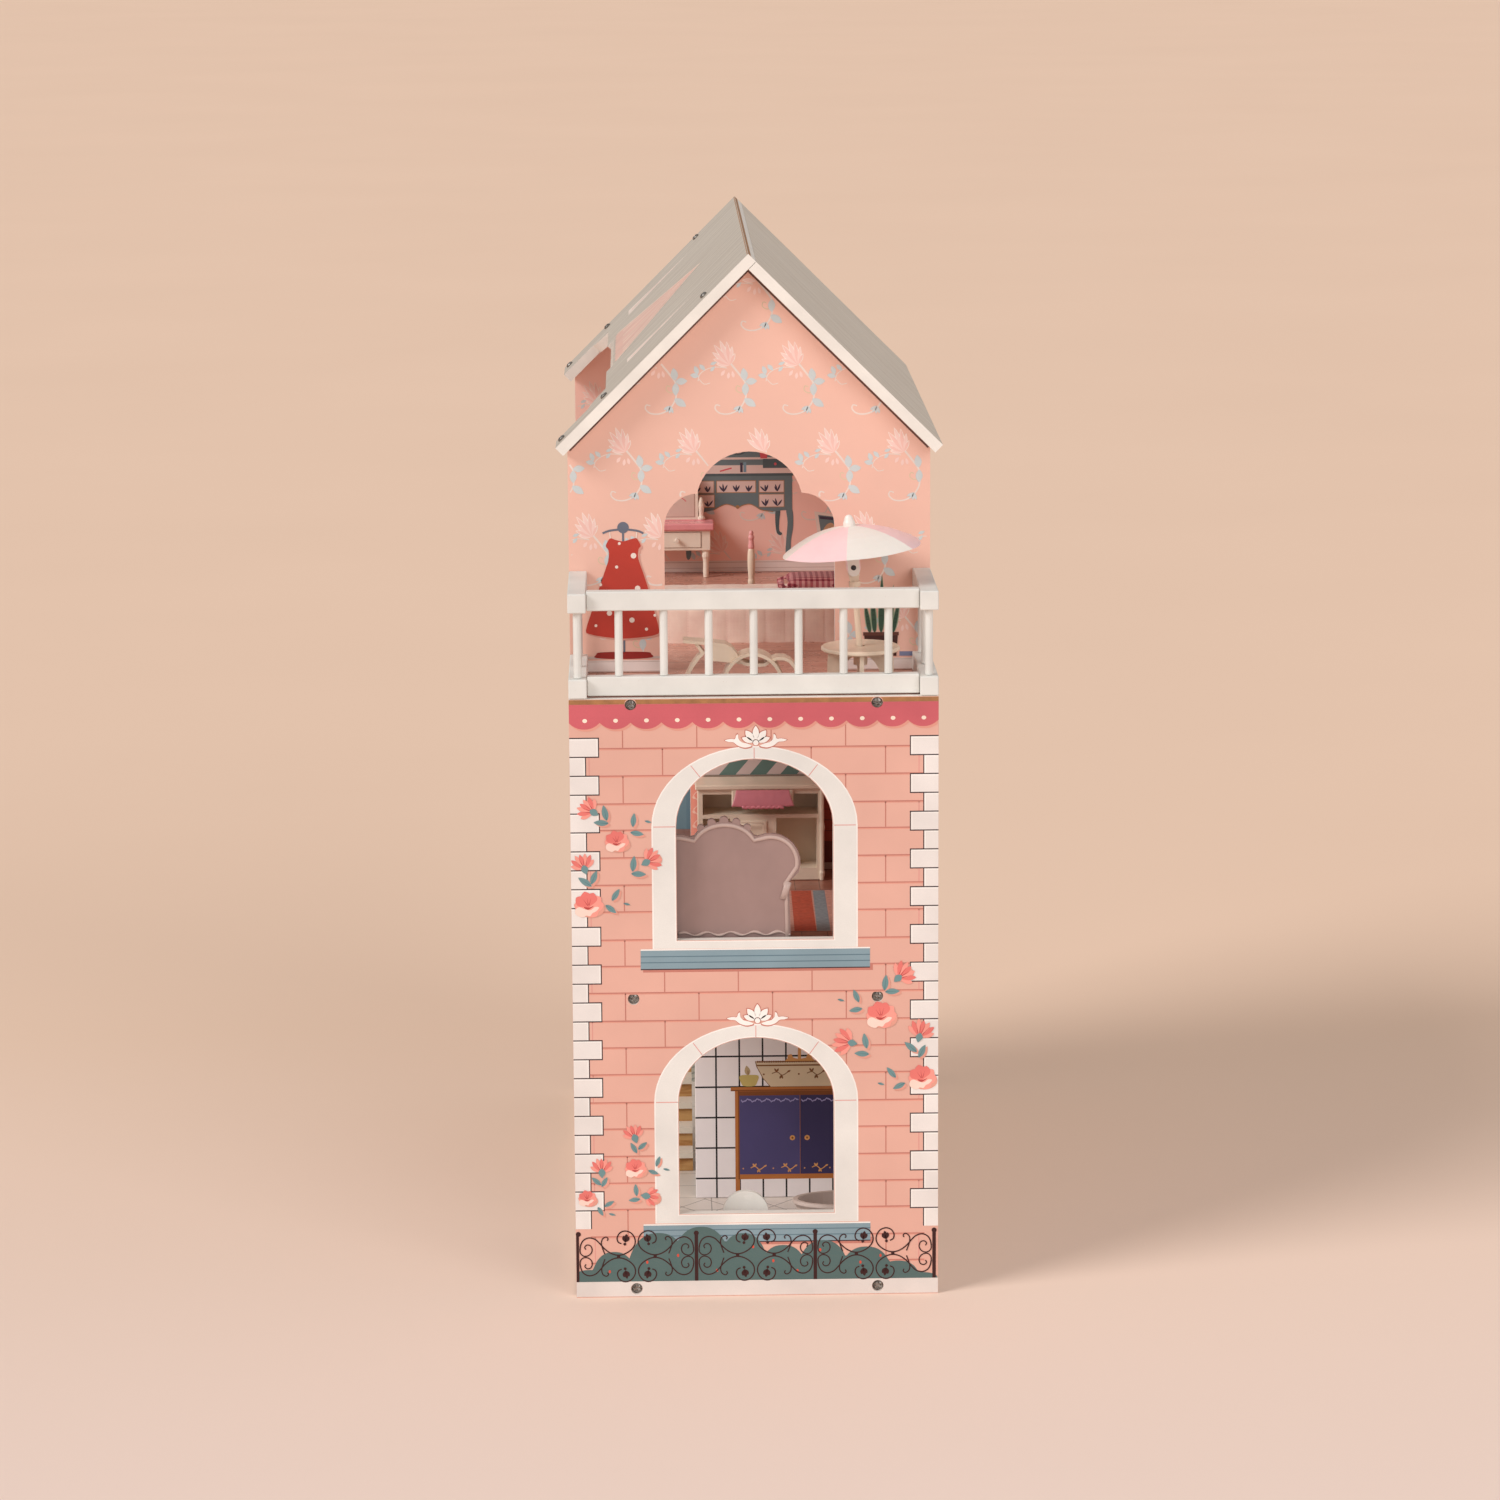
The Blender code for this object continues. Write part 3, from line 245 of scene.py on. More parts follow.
class Board(Nodes):
    """One board: printed film on its wide faces, white lacquer on its edges."""

    def __init__(self, name, edge=WHITE):
        super().__init__(name)
        self.nx, self.ny, self.nz = self.xyz(self.tex.outputs["Normal"])
        self.x, self.y, self.z = self.xyz()
        a = self.map(self.noise(30, 4), 0.3, 0.7, 0, 1)
        self.col = self.mix(a, lin(shade(edge, 0.965)), lin(shade(edge, 1.02)))
        self.gloss = 0.44

    def facing(self, axis, sign):
        s = {"x": self.nx, "y": self.ny, "z": self.nz}[axis]
        return self.math("GREATER_THAN", self.math("MULTIPLY", s, float(sign)), 0.6)

    def above(self, axis, mm):
        s = {"x": self.x, "y": self.y, "z": self.z}[axis]
        at = (mm - 300.0) / 1000.0 if axis == "y" else mm / 1000.0
        return self.math("GREATER_THAN", s, at)

    def paint(self, fac, colour):
        self.col = self.mix(fac, self.col, colour)

    def tone(self, rgb, var=0.03, scale=14):
        a = self.map(self.noise(scale, 4), 0.3, 0.7, 0, 1)
        return self.mix(a, lin(shade(rgb, 1 - var)), lin(shade(rgb, 1 + var)))

    def grid(self, axes, pitch, offset, line, tile, grout, var=0.03):
        """Rectangular tiles; pitch, offset and line in mm."""
        pick = {"x": self.x, "y": self.y, "z": self.z}
        hit = None
        for ax, p, o in zip(axes, pitch, offset):
            s = pick[ax]
            shift = (o - 300.0) / 1000.0 if ax == "y" else o / 1000.0
            u = self.math("FRACT", self.math("DIVIDE", self.math("SUBTRACT", s, shift - 40 * p / 1000), p / 1000))
            near = self.math("MAXIMUM", self.math("LESS_THAN", u, line / p / 2), self.math("GREATER_THAN", u, 1 - line / p / 2))
            hit = near if hit is None else self.math("MAXIMUM", hit, near)
        return self.mix(hit, self.tone(tile, var), lin(grout))

    def planks(self, along, rgb, dark, width=22.0, gap=0.5):
        """Printed floorboards running along an axis."""
        pick = {"x": self.x, "y": self.y}
        across = pick["y" if along == "x" else "x"]
        row = self.math("FLOOR", self.math("DIVIDE", self.math("ADD", across, 2.0), width / 1000))
        u = self.math("FRACT", self.math("DIVIDE", self.math("ADD", across, 2.0), width / 1000))
        sc = (3.0, 60.0, 1.0) if along == "x" else (60.0, 3.0, 1.0)
        co = self.place(sc)
        comb = self.new("CombineXYZ")
        self.put(comb.inputs[2], self.math("MULTIPLY", row, 3.7))
        add = self.new("VectorMath", operation="ADD")
        self.put(add.inputs[0], co)
        self.put(add.inputs[1], comb.outputs[0])
        grain = self.map(self.noise(1.6, 5, co=add.outputs[0], distortion=0.8), 0.32, 0.7, 0, 1)
        wn = self.new("TexWhiteNoise", noise_dimensions="1D")
        self.put(wn.inputs["W"], row)
        base = self.mix(grain, lin(rgb), lin(dark))
        base = self.mix(self.math("MULTIPLY", wn.outputs["Value"], 0.30), base, lin(shade(rgb, 0.78)))
        line = self.math("LESS_THAN", u, gap / width)
        return self.mix(line, base, lin(shade(dark, 0.55)))

    def scribble(self, rgb, dark, axis="z"):
        """Pale wood print with loose wavy grain lines."""
        w = self.wave(60, co=self.place((0.6, 0.6, 1.0) if axis == "z" else (1, 1, 1)), distortion=7.0, detail=3.0, axis="Z", dscale=1.4)
        return self.mix(self.map(w, 0.70, 0.95, 0, 1), self.tone(rgb), lin(dark))

    def end(self, rough=None):
        self.bump(self.math("ADD", self.noise(240, 3), self.math("MULTIPLY", self.noise(800, 2), 0.6)), 0.10, 0.00025)
        r = rough or self.gloss
        return self.done(self.col, self.map(self.noise(80, 2), 0.3, 0.7, r - 0.06, r + 0.07), spec=0.42)


def assign(node, material):
    ob = nodes[node]
    if not ob.material_slots:
        ob.data.materials.append(material)
    for s in ob.material_slots:
        s.material = material


def soften(node, width=0.45, angle=40, segments=2):
    """A small rounded edge on a board or moulding."""
    ob = nodes[node]
    mod = ob.modifiers.new("edge", "BEVEL")
    mod.width, mod.segments, mod.limit_method, mod.angle_limit = width / 1000, segments, "ANGLE", math.radians(angle)
    mod.use_clamp_overlap = True
    mod.harden_normals = False


# base board, floors
b = Board("base_board_film")
b.paint(b.facing("z", 1), b.grid("xy", (34.0, 34.0), (3.0, 20.0), 0.8, (226, 214, 204), (150, 140, 132)))
b.paint(b.facing("z", -1), b.tone((196, 172, 146), 0.06))
assign("base_board", b.end(0.36))

b = Board("mid_floor_film")
b.paint(b.facing("z", 1), b.planks("y", (176, 118, 98), (150, 94, 76), 20.0))
b.paint(b.facing("z", -1), b.tone((240, 232, 226)))
assign("mid_floor", b.end(0.34))

b = Board("attic_floor_film")
# painted light: the attic planks are printed lighter than their own colour, to make up for the shade under the roof
b.paint(b.facing("z", 1), b.planks("x", (222, 165, 145), (200, 140, 122), 24.0))
b.paint(b.facing("z", -1), b.tone((240, 232, 226)))
assign("attic_floor", b.end(0.30))

# end walls
for name, out, inn in (("front_end_wall", -1, 1), ("rear_end_wall", 1, -1)):
    b = Board(name + "_film")
    b.paint(b.facing("y", out), b.tone(SALMON, 0.022))
    inner = b.facing("y", inn)
    if name == "front_end_wall":
        b.paint(inner, b.grid("xz", (18.35, 24.8), (10.2, 1.9), 1.3, (244, 236, 234), (20, 16, 18)))
    else:
        b.paint(inner, b.scribble((188, 186, 174), (150, 150, 142)))
    upper = b.math("MULTIPLY", inner, b.above("z", 229))
    stripes = b.math("GREATER_THAN", b.math("SINE", b.math("MULTIPLY", b.x, 2 * math.pi / 0.018)), 0.0)
    b.paint(upper, b.mix(stripes, b.tone((122, 152, 166)), b.tone((132, 162, 174))))
    assign(name, b.end(0.46))

# closed back
b = Board("back_lower_film")
b.paint(b.facing("x", 1), b.tone((240, 232, 224), 0.008))
inside = b.facing("x", -1)
b.paint(inside, b.grid("yz", (18.35, 24.8), (6.0, 1.9), 1.3, (244, 236, 234), (20, 16, 18)))
b.paint(b.math("MULTIPLY", inside, b.above("y", 226)), b.scribble((188, 186, 174), (150, 150, 142)))
up1 = b.math("MULTIPLY", inside, b.above("z", 229))
b.paint(up1, b.grid("yz", (27.0, 400.0), (6.0, 2.0), 1.4, (236, 190, 178), (250, 228, 218)))
b.paint(b.math("MULTIPLY", up1, b.above("y", 412)), b.tone((122, 152, 166)))
assign("back_panel_lower", b.end(0.46))
b = Board("back_attic_film")
b.paint(b.facing("x", 1), b.tone((240, 232, 224), 0.008))
b.paint(b.facing("x", -1), b.tone(SALMON, 0.025))
assign("back_panel_attic", b.end(0.46))

# gables
for name in ("attic_front_gable", "attic_rear_gable"):
    b = Board(name + "_film")
    # painted light: the film on the faces inside the attic is lighter than on the outer faces, to make up for the shade
    # indoors
    b.paint(b.facing("y", -1), b.tone((238, 190, 172) if name == "attic_front_gable" else (255, 206, 192), 0.015))
    b.paint(b.facing("y", 1), b.tone((241, 192, 174) if name == "attic_rear_gable" else (250, 216, 204), 0.015))
    assign(name, b.end(0.46))

# partitions
b = Board("ground_partition_film")
tile = b.grid("xz", (18.35, 24.8), (10.2, 1.9), 1.35, (246, 238, 238), (20, 16, 18), 0.02)
b.paint(b.facing("y", -1), tile)
b.paint(b.facing("y", 1), b.scribble((188, 186, 174), (150, 150, 142)))
assign("ground_partition", b.end(0.40))
b = Board("first_partition_film")
b.paint(b.facing("y", -1), b.tone((226, 196, 182)))
b.paint(b.facing("y", 1), b.tone((122, 152, 166)))
assign("first_floor_partition", b.end(0.44))

# staircase: cream treads, golden printed stringer
b = Board("staircase_film", (236, 224, 208))
side = b.math("GREATER_THAN", b.math("ABSOLUTE", b.nx), 0.6)
grain = b.map(b.noise(26, 5, co=b.place((1, 1, 6)), distortion=1.2), 0.35, 0.68, 0, 1)
gold = b.mix(grain, lin((206, 160, 104)), lin((172, 118, 66)))
b.paint(side, gold)
rise = b.math("FRACT", b.math("DIVIDE", b.math("SUBTRACT", b.z, 0.0108), 0.2222 / 14))
riser = b.math("MULTIPLY", b.facing("y", -1), b.math("LESS_THAN", rise, 10.9 / 15.87))
b.paint(riser, gold)
b.paint(b.facing("z", 1), b.tone((238, 226, 212)))
assign("staircase", b.end(0.42))

# roof
for name, sx in (("roof_panel_left", -1), ("roof_panel_right", 1)):
    b = Board(name + "_film", (240, 233, 224))
    k = math.sqrt(0.5)
    dot = b.math("ADD", b.math("MULTIPLY", b.nx, sx * k), b.math("MULTIPLY", b.nz, k))
    outer = b.math("GREATER_THAN", dot, 0.9)
    under = b.math("LESS_THAN", dot, -0.9)
    co = b.place((3.0, 26.0, 3.0))
    g1 = b.map(b.noise(3.2, 6, co=co, distortion=1.4), 0.34, 0.66, 0, 1)
    g2 = b.map(b.wave(2.2, co=b.place((1.0, 9.0, 1.0)), distortion=9.0, detail=3.0, axis="Y", dscale=0.8), 0.80, 0.97, 0, 1)
    # painted light: the right panel's print is made 12% lighter than the left's, to make up for the weaker light on
    # that slope
    g = 1.0 if sx < 0 else 1.12
    roofc = b.mix(g1, lin(shade((190, 178, 164), g)), lin(shade((204, 193, 179), g)))
    roofc = b.mix(b.math("MULTIPLY", g2, 0.5 if sx < 0 else 0.3), roofc, lin(shade((170, 158, 146), g)))
    b.paint(outer, roofc)
    b.paint(under, b.tone((242, 236, 228)))
    assign(name, b.end(0.5))

WOOD_WHITE = lacquer("white_rail_lacquer", (228, 226, 220))
for n in nodes:
    if n.endswith("_rail") or "_spindle_" in n:
        assign(n, WOOD_WHITE)
        soften(n, 0.5)

CREAM_P = plastic("cream_plastic_skin", (240, 219, 196), 0.34, sss=0.04)
# painted light: this white is set lighter than the toilet's own colour, to make up for the shade in the bathroom
WHITE_P = plastic("white_plastic_skin", (252, 247, 239), 0.22, 0.02, coat=0.3, sss=0.03)
MAUVE_P = plastic("mauve_plastic_skin", (159, 130, 124), 0.33, 0.03)
# painted shade: the tub's white plastic is given a darker taupe, standing in for the shade it sits in
TUB_P = plastic("tub_plastic_skin", (210, 190, 180), 0.28, 0.03)
for n in ("balcony_table", "umbrella_pole", "lounge_chair", "coat_stand"):
    assign(n, CREAM_P)
for n in ("toilet", "toilet_lid"):
    assign(n, WHITE_P)
assign("bathtub", TUB_P)
assign("crown_bed", MAUVE_P)


def banded(name, base, bands, rough=0.35, near=None):
    """Cream plastic with painted zones: each band is (axis, low, high, rgb), in mm."""
    b = Board(name, base)
    a = b.map(b.noise(34, 3, distortion=0.6), 0.3, 0.7, 0, 1)
    b.col = b.mix(a, lin(shade(base, 0.97)), lin(shade(base, 1.02)))
    for tests, rgb in bands:
        f = None
        for ax, lo, hi in tests:
            g = b.math("MULTIPLY", b.above(ax, lo), b.math("SUBTRACT", 1.0, b.above(ax, hi)))
            f = g if f is None else b.math("MULTIPLY", f, g)
        b.paint(f, b.tone(rgb, 0.03, 40))
    return b.end(rough)


# painted light: the vanity and its drawer are set lighter than their own cream, to make up for the shade in the attic
assign("vanity_table", banded("vanity_plastic", (252, 236, 218), [([("z", 494.0, 501.0)], (240, 160, 164))], 0.28))
assign("vanity_drawer", banded("drawer_plastic", (255, 240, 222), [], 0.33))
assign("bed_frame", banded("bed_plastic", (240, 219, 196), [([("z", 508.0, 560.0), ("x", -75.0, 105.0)], (238, 170, 166))], 0.34))
assign("coat_stand", banded("stand_plastic", (240, 219, 196), [([("z", 507.0, 523.0)], (240, 168, 166))], 0.33))
assign("hutch", banded("hutch_plastic", (240, 222, 200), [], 0.36))

# canopy: six panels, pale pink and white in turn, round its own leaning axis
n = Nodes("canopy_panels")
lean = math.radians(-5.4)
loc = n.new("VectorMath", operation="SUBTRACT")
n.put(loc.inputs[0], n.co)
loc.inputs[1].default_value = P(75.2, 54, 541.2)
rot = n.new("VectorRotate", rotation_type="Y_AXIS")
n.put(rot.inputs["Vector"], loc.outputs[0])
rot.inputs["Angle"].default_value = -lean
px, py, pz = n.xyz(rot.outputs[0])
px = n.math("DIVIDE", px, 1.04)
ang = n.math("ADD", n.math("DIVIDE", n.math("ADD", n.math("ARCTAN2", py, px), math.radians(96.3)), math.pi / 3), 12.0)
par = n.math("GREATER_THAN", n.math("MODULO", n.math("FLOOR", ang), 2.0), 0.5)
rad = n.math("SQRT", n.math("ADD", n.math("MULTIPLY", px, px), n.math("MULTIPLY", py, py)))
knob = n.math("LESS_THAN", rad, 0.0052)
drift = n.map(n.noise(40, 3), 0.3, 0.7, 0, 1)
pink = n.mix(drift, lin((247, 205, 207)), lin((251, 213, 214)))
white = n.mix(drift, lin((238, 229, 220)), lin((243, 234, 226)))
col = n.mix(par, white, pink)
col = n.mix(knob, col, white)
n.bump(n.noise(430, 3), 0.10, 0.0002)
assign("umbrella_canopy", n.done(col, n.map(n.noise(60, 2), 0.3, 0.7, 0.30, 0.42), spec=0.45, sss=0.05))


# ---------------------------------------------------------------- printed artwork, as thin closed film shapes
class Print:
    """Flat shapes on one surface. (u, v) in mm from O; each layer lies just above the one before."""

    def __init__(self, name, O, U, V, N, body="house", slot="salmon_print", lift=0.0):
        self.name, self.body, self.slot, self.lift = name, body, slot, lift
        self.O, self.U, self.V, self.N = Vector(O), Vector(U).normalized(), Vector(V).normalized(), Vector(N).normalized()
        self.verts, self.faces, self.fm, self.mats = [], [], [], []
        self.keep = None

    def idx(self, m):
        if m not in self.mats:
            self.mats.append(m)
        return self.mats.index(m)

    def pt(self, q, h):
        p = self.O + self.U * q[0] + self.V * q[1] + self.N * (h + self.lift)
        return P(p.x, p.y, p.z)

    def ok(self, pts):
        return self.keep is None or all(self.keep(u, v) for u, v in pts)

    def poly(self, pts, m, layer=0, thick=0.028):
        clean = []
        for q in pts:
            if not clean or math.dist(q, clean[-1]) > 0.02:
                clean.append(q)
        if len(clean) > 2 and math.dist(clean[0], clean[-1]) < 0.02:
            clean.pop()
        if len(clean) < 3 or not self.ok(clean):
            return
        area = sum(a[0] * b[1] - b[0] * a[1] for a, b in zip(clean, clean[1:] + clean[:1]))
        if abs(area) < 0.02:
            return
        if area < 0:
            clean.reverse()
        h0 = 0.006 + 0.03 * layer
        k, n = len(self.verts), len(clean)
        self.verts += [self.pt(q, h0 + thick) for q in clean] + [self.pt(q, h0) for q in clean]
        i = self.idx(m)
        self.faces.append(tuple(range(k, k + n)))
        self.faces.append(tuple(range(k + 2 * n - 1, k + n - 1, -1)))
        self.faces += [(k + (j + 1) % n, k + j, k + n + j, k + n + (j + 1) % n) for j in range(n)]
        self.fm += [i] * (n + 2)

    def strip(self, A, B, m, layer=0, closed=False, thick=0.028):
        if len(A) < 2:
            return
        n, k, h0 = len(A), len(self.verts), 0.006 + 0.03 * layer
        self.verts += [self.pt(q, h0 + thick) for q in A] + [self.pt(q, h0 + thick) for q in B] + [self.pt(q, h0) for q in A] + [self.pt(q, h0) for q in B]
        i = self.idx(m)
        count = n if closed else n - 1
        new = []
        for j in range(count):
            a, a2 = k + j, k + (j + 1) % n
            b, b2 = a + n, a2 + n
            c, c2, d, d2 = a + 2 * n, a2 + 2 * n, b + 2 * n, b2 + 2 * n
            new += [(a, a2, b2, b), (c, d, d2, c2), (a, c, c2, a2), (b, b2, d2, d)]
        if not closed:
            new += [(k, k + n, k + 3 * n, k + 2 * n), (k + n - 1, k + 3 * n - 1, k + 4 * n - 1, k + 2 * n - 1)]
        self.faces += new
        self.fm += [i] * len(new)

    def line(self, pts, w, m, layer=0, closed=False):
        """w is a width in mm, or a function of the share of the way along."""
        if self.keep is not None and not closed:
            run = []
            for q in list(pts) + [None]:
                if q is not None and self.keep(*q):
                    run.append(q)
                else:
                    if len(run) > 1:
                        self._line(run, w, m, layer, False)
                    run = []
            return
        self._line(list(pts), w, m, layer, closed)

    def _line(self, pts, w, m, layer, closed):
        n, A, B = len(pts), [], []
        for j, q in enumerate(pts):
            if closed:
                a, c = pts[j - 1], pts[(j + 1) % n]
            else:
                a, c = pts[max(j - 1, 0)], pts[min(j + 1, n - 1)]
            dx, dy = c[0] - a[0], c[1] - a[1]
            d = math.hypot(dx, dy) or 1.0
            k = (w(j / max(n - 1, 1)) if callable(w) else w) / 2
            A.append((q[0] - dy / d * k, q[1] + dx / d * k))
            B.append((q[0] + dy / d * k, q[1] - dx / d * k))
        self.strip(A, B, m, layer, closed)

    def rect(self, x0, z0, x1, z1, m, layer=0):
        self.poly([(x0, z0), (x1, z0), (x1, z1), (x0, z1)], m, layer)

    def disc(self, x, z, r, m, layer=0, n=16, ry=None, ang=0.0):
        ry = r if ry is None else ry
        ca, sa = math.cos(ang), math.sin(ang)
        self.poly([(x + r * math.cos(t) * ca - ry * math.sin(t) * sa, z + r * math.cos(t) * sa + ry * math.sin(t) * ca) for t in (2 * math.pi * j / n for j in range(n))], m, layer)

    def end(self):
        me = bpy.data.meshes.new(self.name)
        me.from_pydata(self.verts, [], self.faces)
        for mat in self.mats:
            me.materials.append(mat)
        me.polygons.foreach_set("material_index", self.fm)
        ob = bpy.data.objects.new(self.name, me)
        scene.collection.objects.link(ob)
        bm = bmesh.new()
        bm.from_mesh(me)
        bmesh.ops.recalc_face_normals(bm, faces=bm.faces)
        bm.to_mesh(me)
        bm.free()
        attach(ob, self.body)
        return ob


def smooth(pts, n=6, closed=False):
    """A Catmull-Rom path through the points."""
    out, k = [], len(pts)
    count = k if closed else k - 1
    for i in range(count):
        if closed:
            p0, p1, p2, p3 = pts[i - 1], pts[i], pts[(i + 1) % k], pts[(i + 2) % k]
        else:
            p0, p1, p2, p3 = pts[max(i - 1, 0)], pts[i], pts[i + 1], pts[min(i + 2, k - 1)]
        for s in range(n):
            t = s / n
            out.append(tuple(0.5 * (2 * b + (c - a) * t + (2 * a - 5 * b + 4 * c - d) * t * t + (3 * b - a - 3 * c + d) * t ** 3) for a, b, c, d in zip(p0, p1, p2, p3)))
    if not closed:
        out.append(tuple(pts[-1]))
    return out


def petal(x, z, ang, L, W, tip=1.35, n=14, start=0.0):
    """A petal or leaf outline from a base point, pointing at ang degrees."""
    a = math.radians(ang)
    ca, sa = math.cos(a), math.sin(a)
    side = [(start + (1 - start) * j / n, math.sin(math.pi * (j / n) ** tip) ** 0.85 * W / 2) for j in range(n + 1)]
    pts = [(t * L, w) for t, w in side] + [(t * L, -w) for t, w in reversed(side[1:-1])]
    return [(x + u * ca - v * sa, z + u * sa + v * ca) for u, v in pts]


I = {
    "line": ink("ink_brick_line", (198, 126, 112)),
    "brickshade": ink("ink_brick_shade", (226, 158, 140)),
    "quoin": ink("ink_quoin", (236, 228, 223)),
    "light": ink("ink_highlight", (247, 241, 235)),
    "dark": ink("ink_outline", (62, 46, 50)),
    "sur": ink("ink_surround", (232, 228, 222)),
    "rose": ink("ink_rose_line", (222, 150, 142)),
    "sill": ink("ink_sill", (135, 158, 168)),
    "sill2": ink("ink_sill_dark", (94, 120, 132)),
    "bush": ink("ink_bush", (84, 108, 106)),
    "fence": ink("ink_fence", (56, 22, 22)),
    "red": ink("ink_red", (214, 78, 58)),
    "val": ink("ink_valance", (206, 98, 106)),
    "cream": ink("ink_cream", (250, 228, 208)),
    "raw": ink("raw_mdf_edge", (168, 118, 76), 0.10, 0.75, 120),
    "band": ink("ink_base_band", (226, 216, 210)),
    "coral": ink("ink_coral", (232, 122, 114)),
    "coral2": ink("ink_coral_light", (244, 158, 144)),
    "coral3": ink("ink_coral_dark", (186, 70, 68)),
    "blush": ink("ink_blush", (250, 216, 202)),
    "leaf": ink("ink_leaf", (112, 146, 148)),
    "leaf2": ink("ink_leaf_rib", (84, 118, 124)),
}


def leaf(pr, cx, cz, ang, L, W, layer=5, shadow=True):
    a = math.radians(ang)
    bx, bz = cx - math.cos(a) * L / 2, cz - math.sin(a) * L / 2
    if shadow:
        pr.poly(petal(bx + 1.5, bz - 1.3, ang, L, W, 0.9), I["brickshade"], layer - 1)
    pr.poly(petal(bx, bz, ang, L, W, 0.9), I["leaf"], layer)
    pr.line([(bx + math.cos(a) * L * t, bz + math.sin(a) * L * t) for t in (0.06, 0.4, 0.82)], lambda t: 0.55 * (1.05 - t), I["leaf2"], layer + 1)


def open_flower(pr, cx, cz, w, layer=5):
    L = w * 0.52
    pr.disc(cx + 1.6, cz - 1.6, w * 0.44, I["brickshade"], layer - 1, 20, w * 0.30)
    for k, (ang, mt, s) in enumerate(((168, "coral2", 0.92), (12, "coral2", 0.95), (-48, "coral2", 0.74), (140, "coral", 1.0), (42, "coral2", 1.0), (104, "coral", 1.04), (72, "coral", 0.98))):
        pr.poly(petal(cx, cz - 0.04 * w, ang, L * s, w * 0.36, 1.5), I[mt], layer + 0.18 * k)
    lip = [(-0.42, -0.10), (-0.30, -0.02), (-0.10, -0.10), (0.06, -0.12), (0.20, -0.02), (0.33, -0.04), (0.24, -0.16), (0.12, -0.22), (0.04, -0.32), (-0.08, -0.30), (-0.18, -0.36), (-0.32, -0.32), (-0.42, -0.24)]
    pr.poly(smooth([(cx + u * w, cz + v * w) for u, v in lip], 4, True), I["blush"], layer + 2)
    pr.poly(smooth([(cx - 0.16 * w, cz - 0.02 * w), (cx - 0.02 * w, cz - 0.105 * w), (cx + 0.17 * w, cz + 0.02 * w), (cx + 0.02 * w, cz - 0.035 * w)], 5, True), I["coral3"], layer + 3)
    for a in (75, 100, 125):
        t = math.radians(a)
        pr.line([(cx + math.cos(t) * w * 0.06, cz + math.sin(t) * w * 0.04), (cx + math.cos(t) * w * 0.30, cz + math.sin(t) * w * 0.28)], lambda s: 0.5 * (1.1 - s), I["coral3"], layer + 2)


def bud_flower(pr, fx, fz, kx, kz, layer=5):
    """A flower seen from the side: fx, fz the petals' middle, kx, kz the calyx."""
    dx, dz = fx - kx, fz - kz
    d = math.hypot(dx, dz)
    ang = math.degrees(math.atan2(dz, dx))
    L = d * 1.75
    pr.disc(fx + 1.4, fz - 1.4, 4.6, I["brickshade"], layer - 1, 16)
    for k, (off, mt, s) in enumerate(((-58, "coral2", 0.82), (56, "coral2", 0.86), (-38, "coral", 0.98), (36, "coral", 1.0), (-18, "coral2", 1.0), (16, "coral2", 1.05), (0, "coral", 0.98))):
        pr.poly(petal(kx, kz, ang + off, L * s, L * 0.27, 1.6), I[mt], layer + 0.15 * k)
    for off in (-28, -9, 9, 27):
        t = math.radians(ang + off)
        pr.line([(kx + math.cos(t) * L * 0.25, kz + math.sin(t) * L * 0.25), (kx + math.cos(t) * L * 0.74, kz + math.sin(t) * L * 0.74)], lambda s: 0.55 * (1.1 - s), I["coral3"], layer + 2)
    t = math.radians(ang)
    pr.poly(petal(kx - math.cos(t) * 3.6, kz - math.sin(t) * 3.6, ang, 7.6, 5.2, 1.25), I["leaf"], layer + 3)


def brick_half(z, bottom, spring, apex):
    """Half width of a window's stone surround at a height, or None beside it."""
    if z < bottom - 0.5 or z > apex + 0.5:
        return None
    if z <= spring:
        return 74.5
    return 74.5 * math.sqrt(max(0.0, 1 - ((z - spring) / (apex - spring)) ** 2))


WINDOWS = (dict(bottom=63.8, spring=150.0, apex=198.6, ob=57.2, oa=208.2, sill=(41.6, 56.3)),
           dict(bottom=273.0, spring=358.6, apex=408.6, ob=267.2, oa=417.4, sill=(251.0, 266.6)))
BRICK_Z = [417.5, 397, 376.2, 356.5, 335.8, 315.3, 295.1, 273.9, 254, 233.7, 212.4, 192.1, 171.6, 150.2, 130, 109, 88.4, 68.1, 47, 26.6]
JOINT_A = [-96, -41.8, 12.5, 66.9]
JOINT_B = [-67, -12.7, 41.7, 96.1]
SCREW_X, SCREW_R = (-90.0, 90.0), 4.35


def holed(pr, x0, x1, z0, z1, zc, m, layer):
    """A band with round holes for the screws, cut along the holes' centre height."""
    for lo, hi, up_side in ((zc, z1, True), (z0, zc, False)):
        if hi - lo < 0.05:
            continue
        edge = lo if up_side else hi
        pts = [(x0, edge)]
        for sx in SCREW_X:
            if up_side:
                arc = [(sx - SCREW_R * math.cos(t), edge + min(SCREW_R * math.sin(t), hi - lo - 0.01)) for t in (math.pi * j / 12 for j in range(13))]
            else:
                arc = [(sx - SCREW_R * math.cos(t), edge - min(SCREW_R * math.sin(t), hi - lo - 0.01)) for t in (math.pi * j / 12 for j in range(13))]
            pts += arc
        pts.append((x1, edge))
        pts += [(x1, hi if up_side else lo), (x0, hi if up_side else lo)]
        pr.poly(pts, m, layer)


def arch_pts(half, bottom, spring, apex, n=28):
    pts = [(half * math.cos(math.pi * j / n), spring + (apex - spring) * math.sin(math.pi * j / n)) for j in range(n + 1)]
    return pts + [(-half, bottom), (half, bottom)]


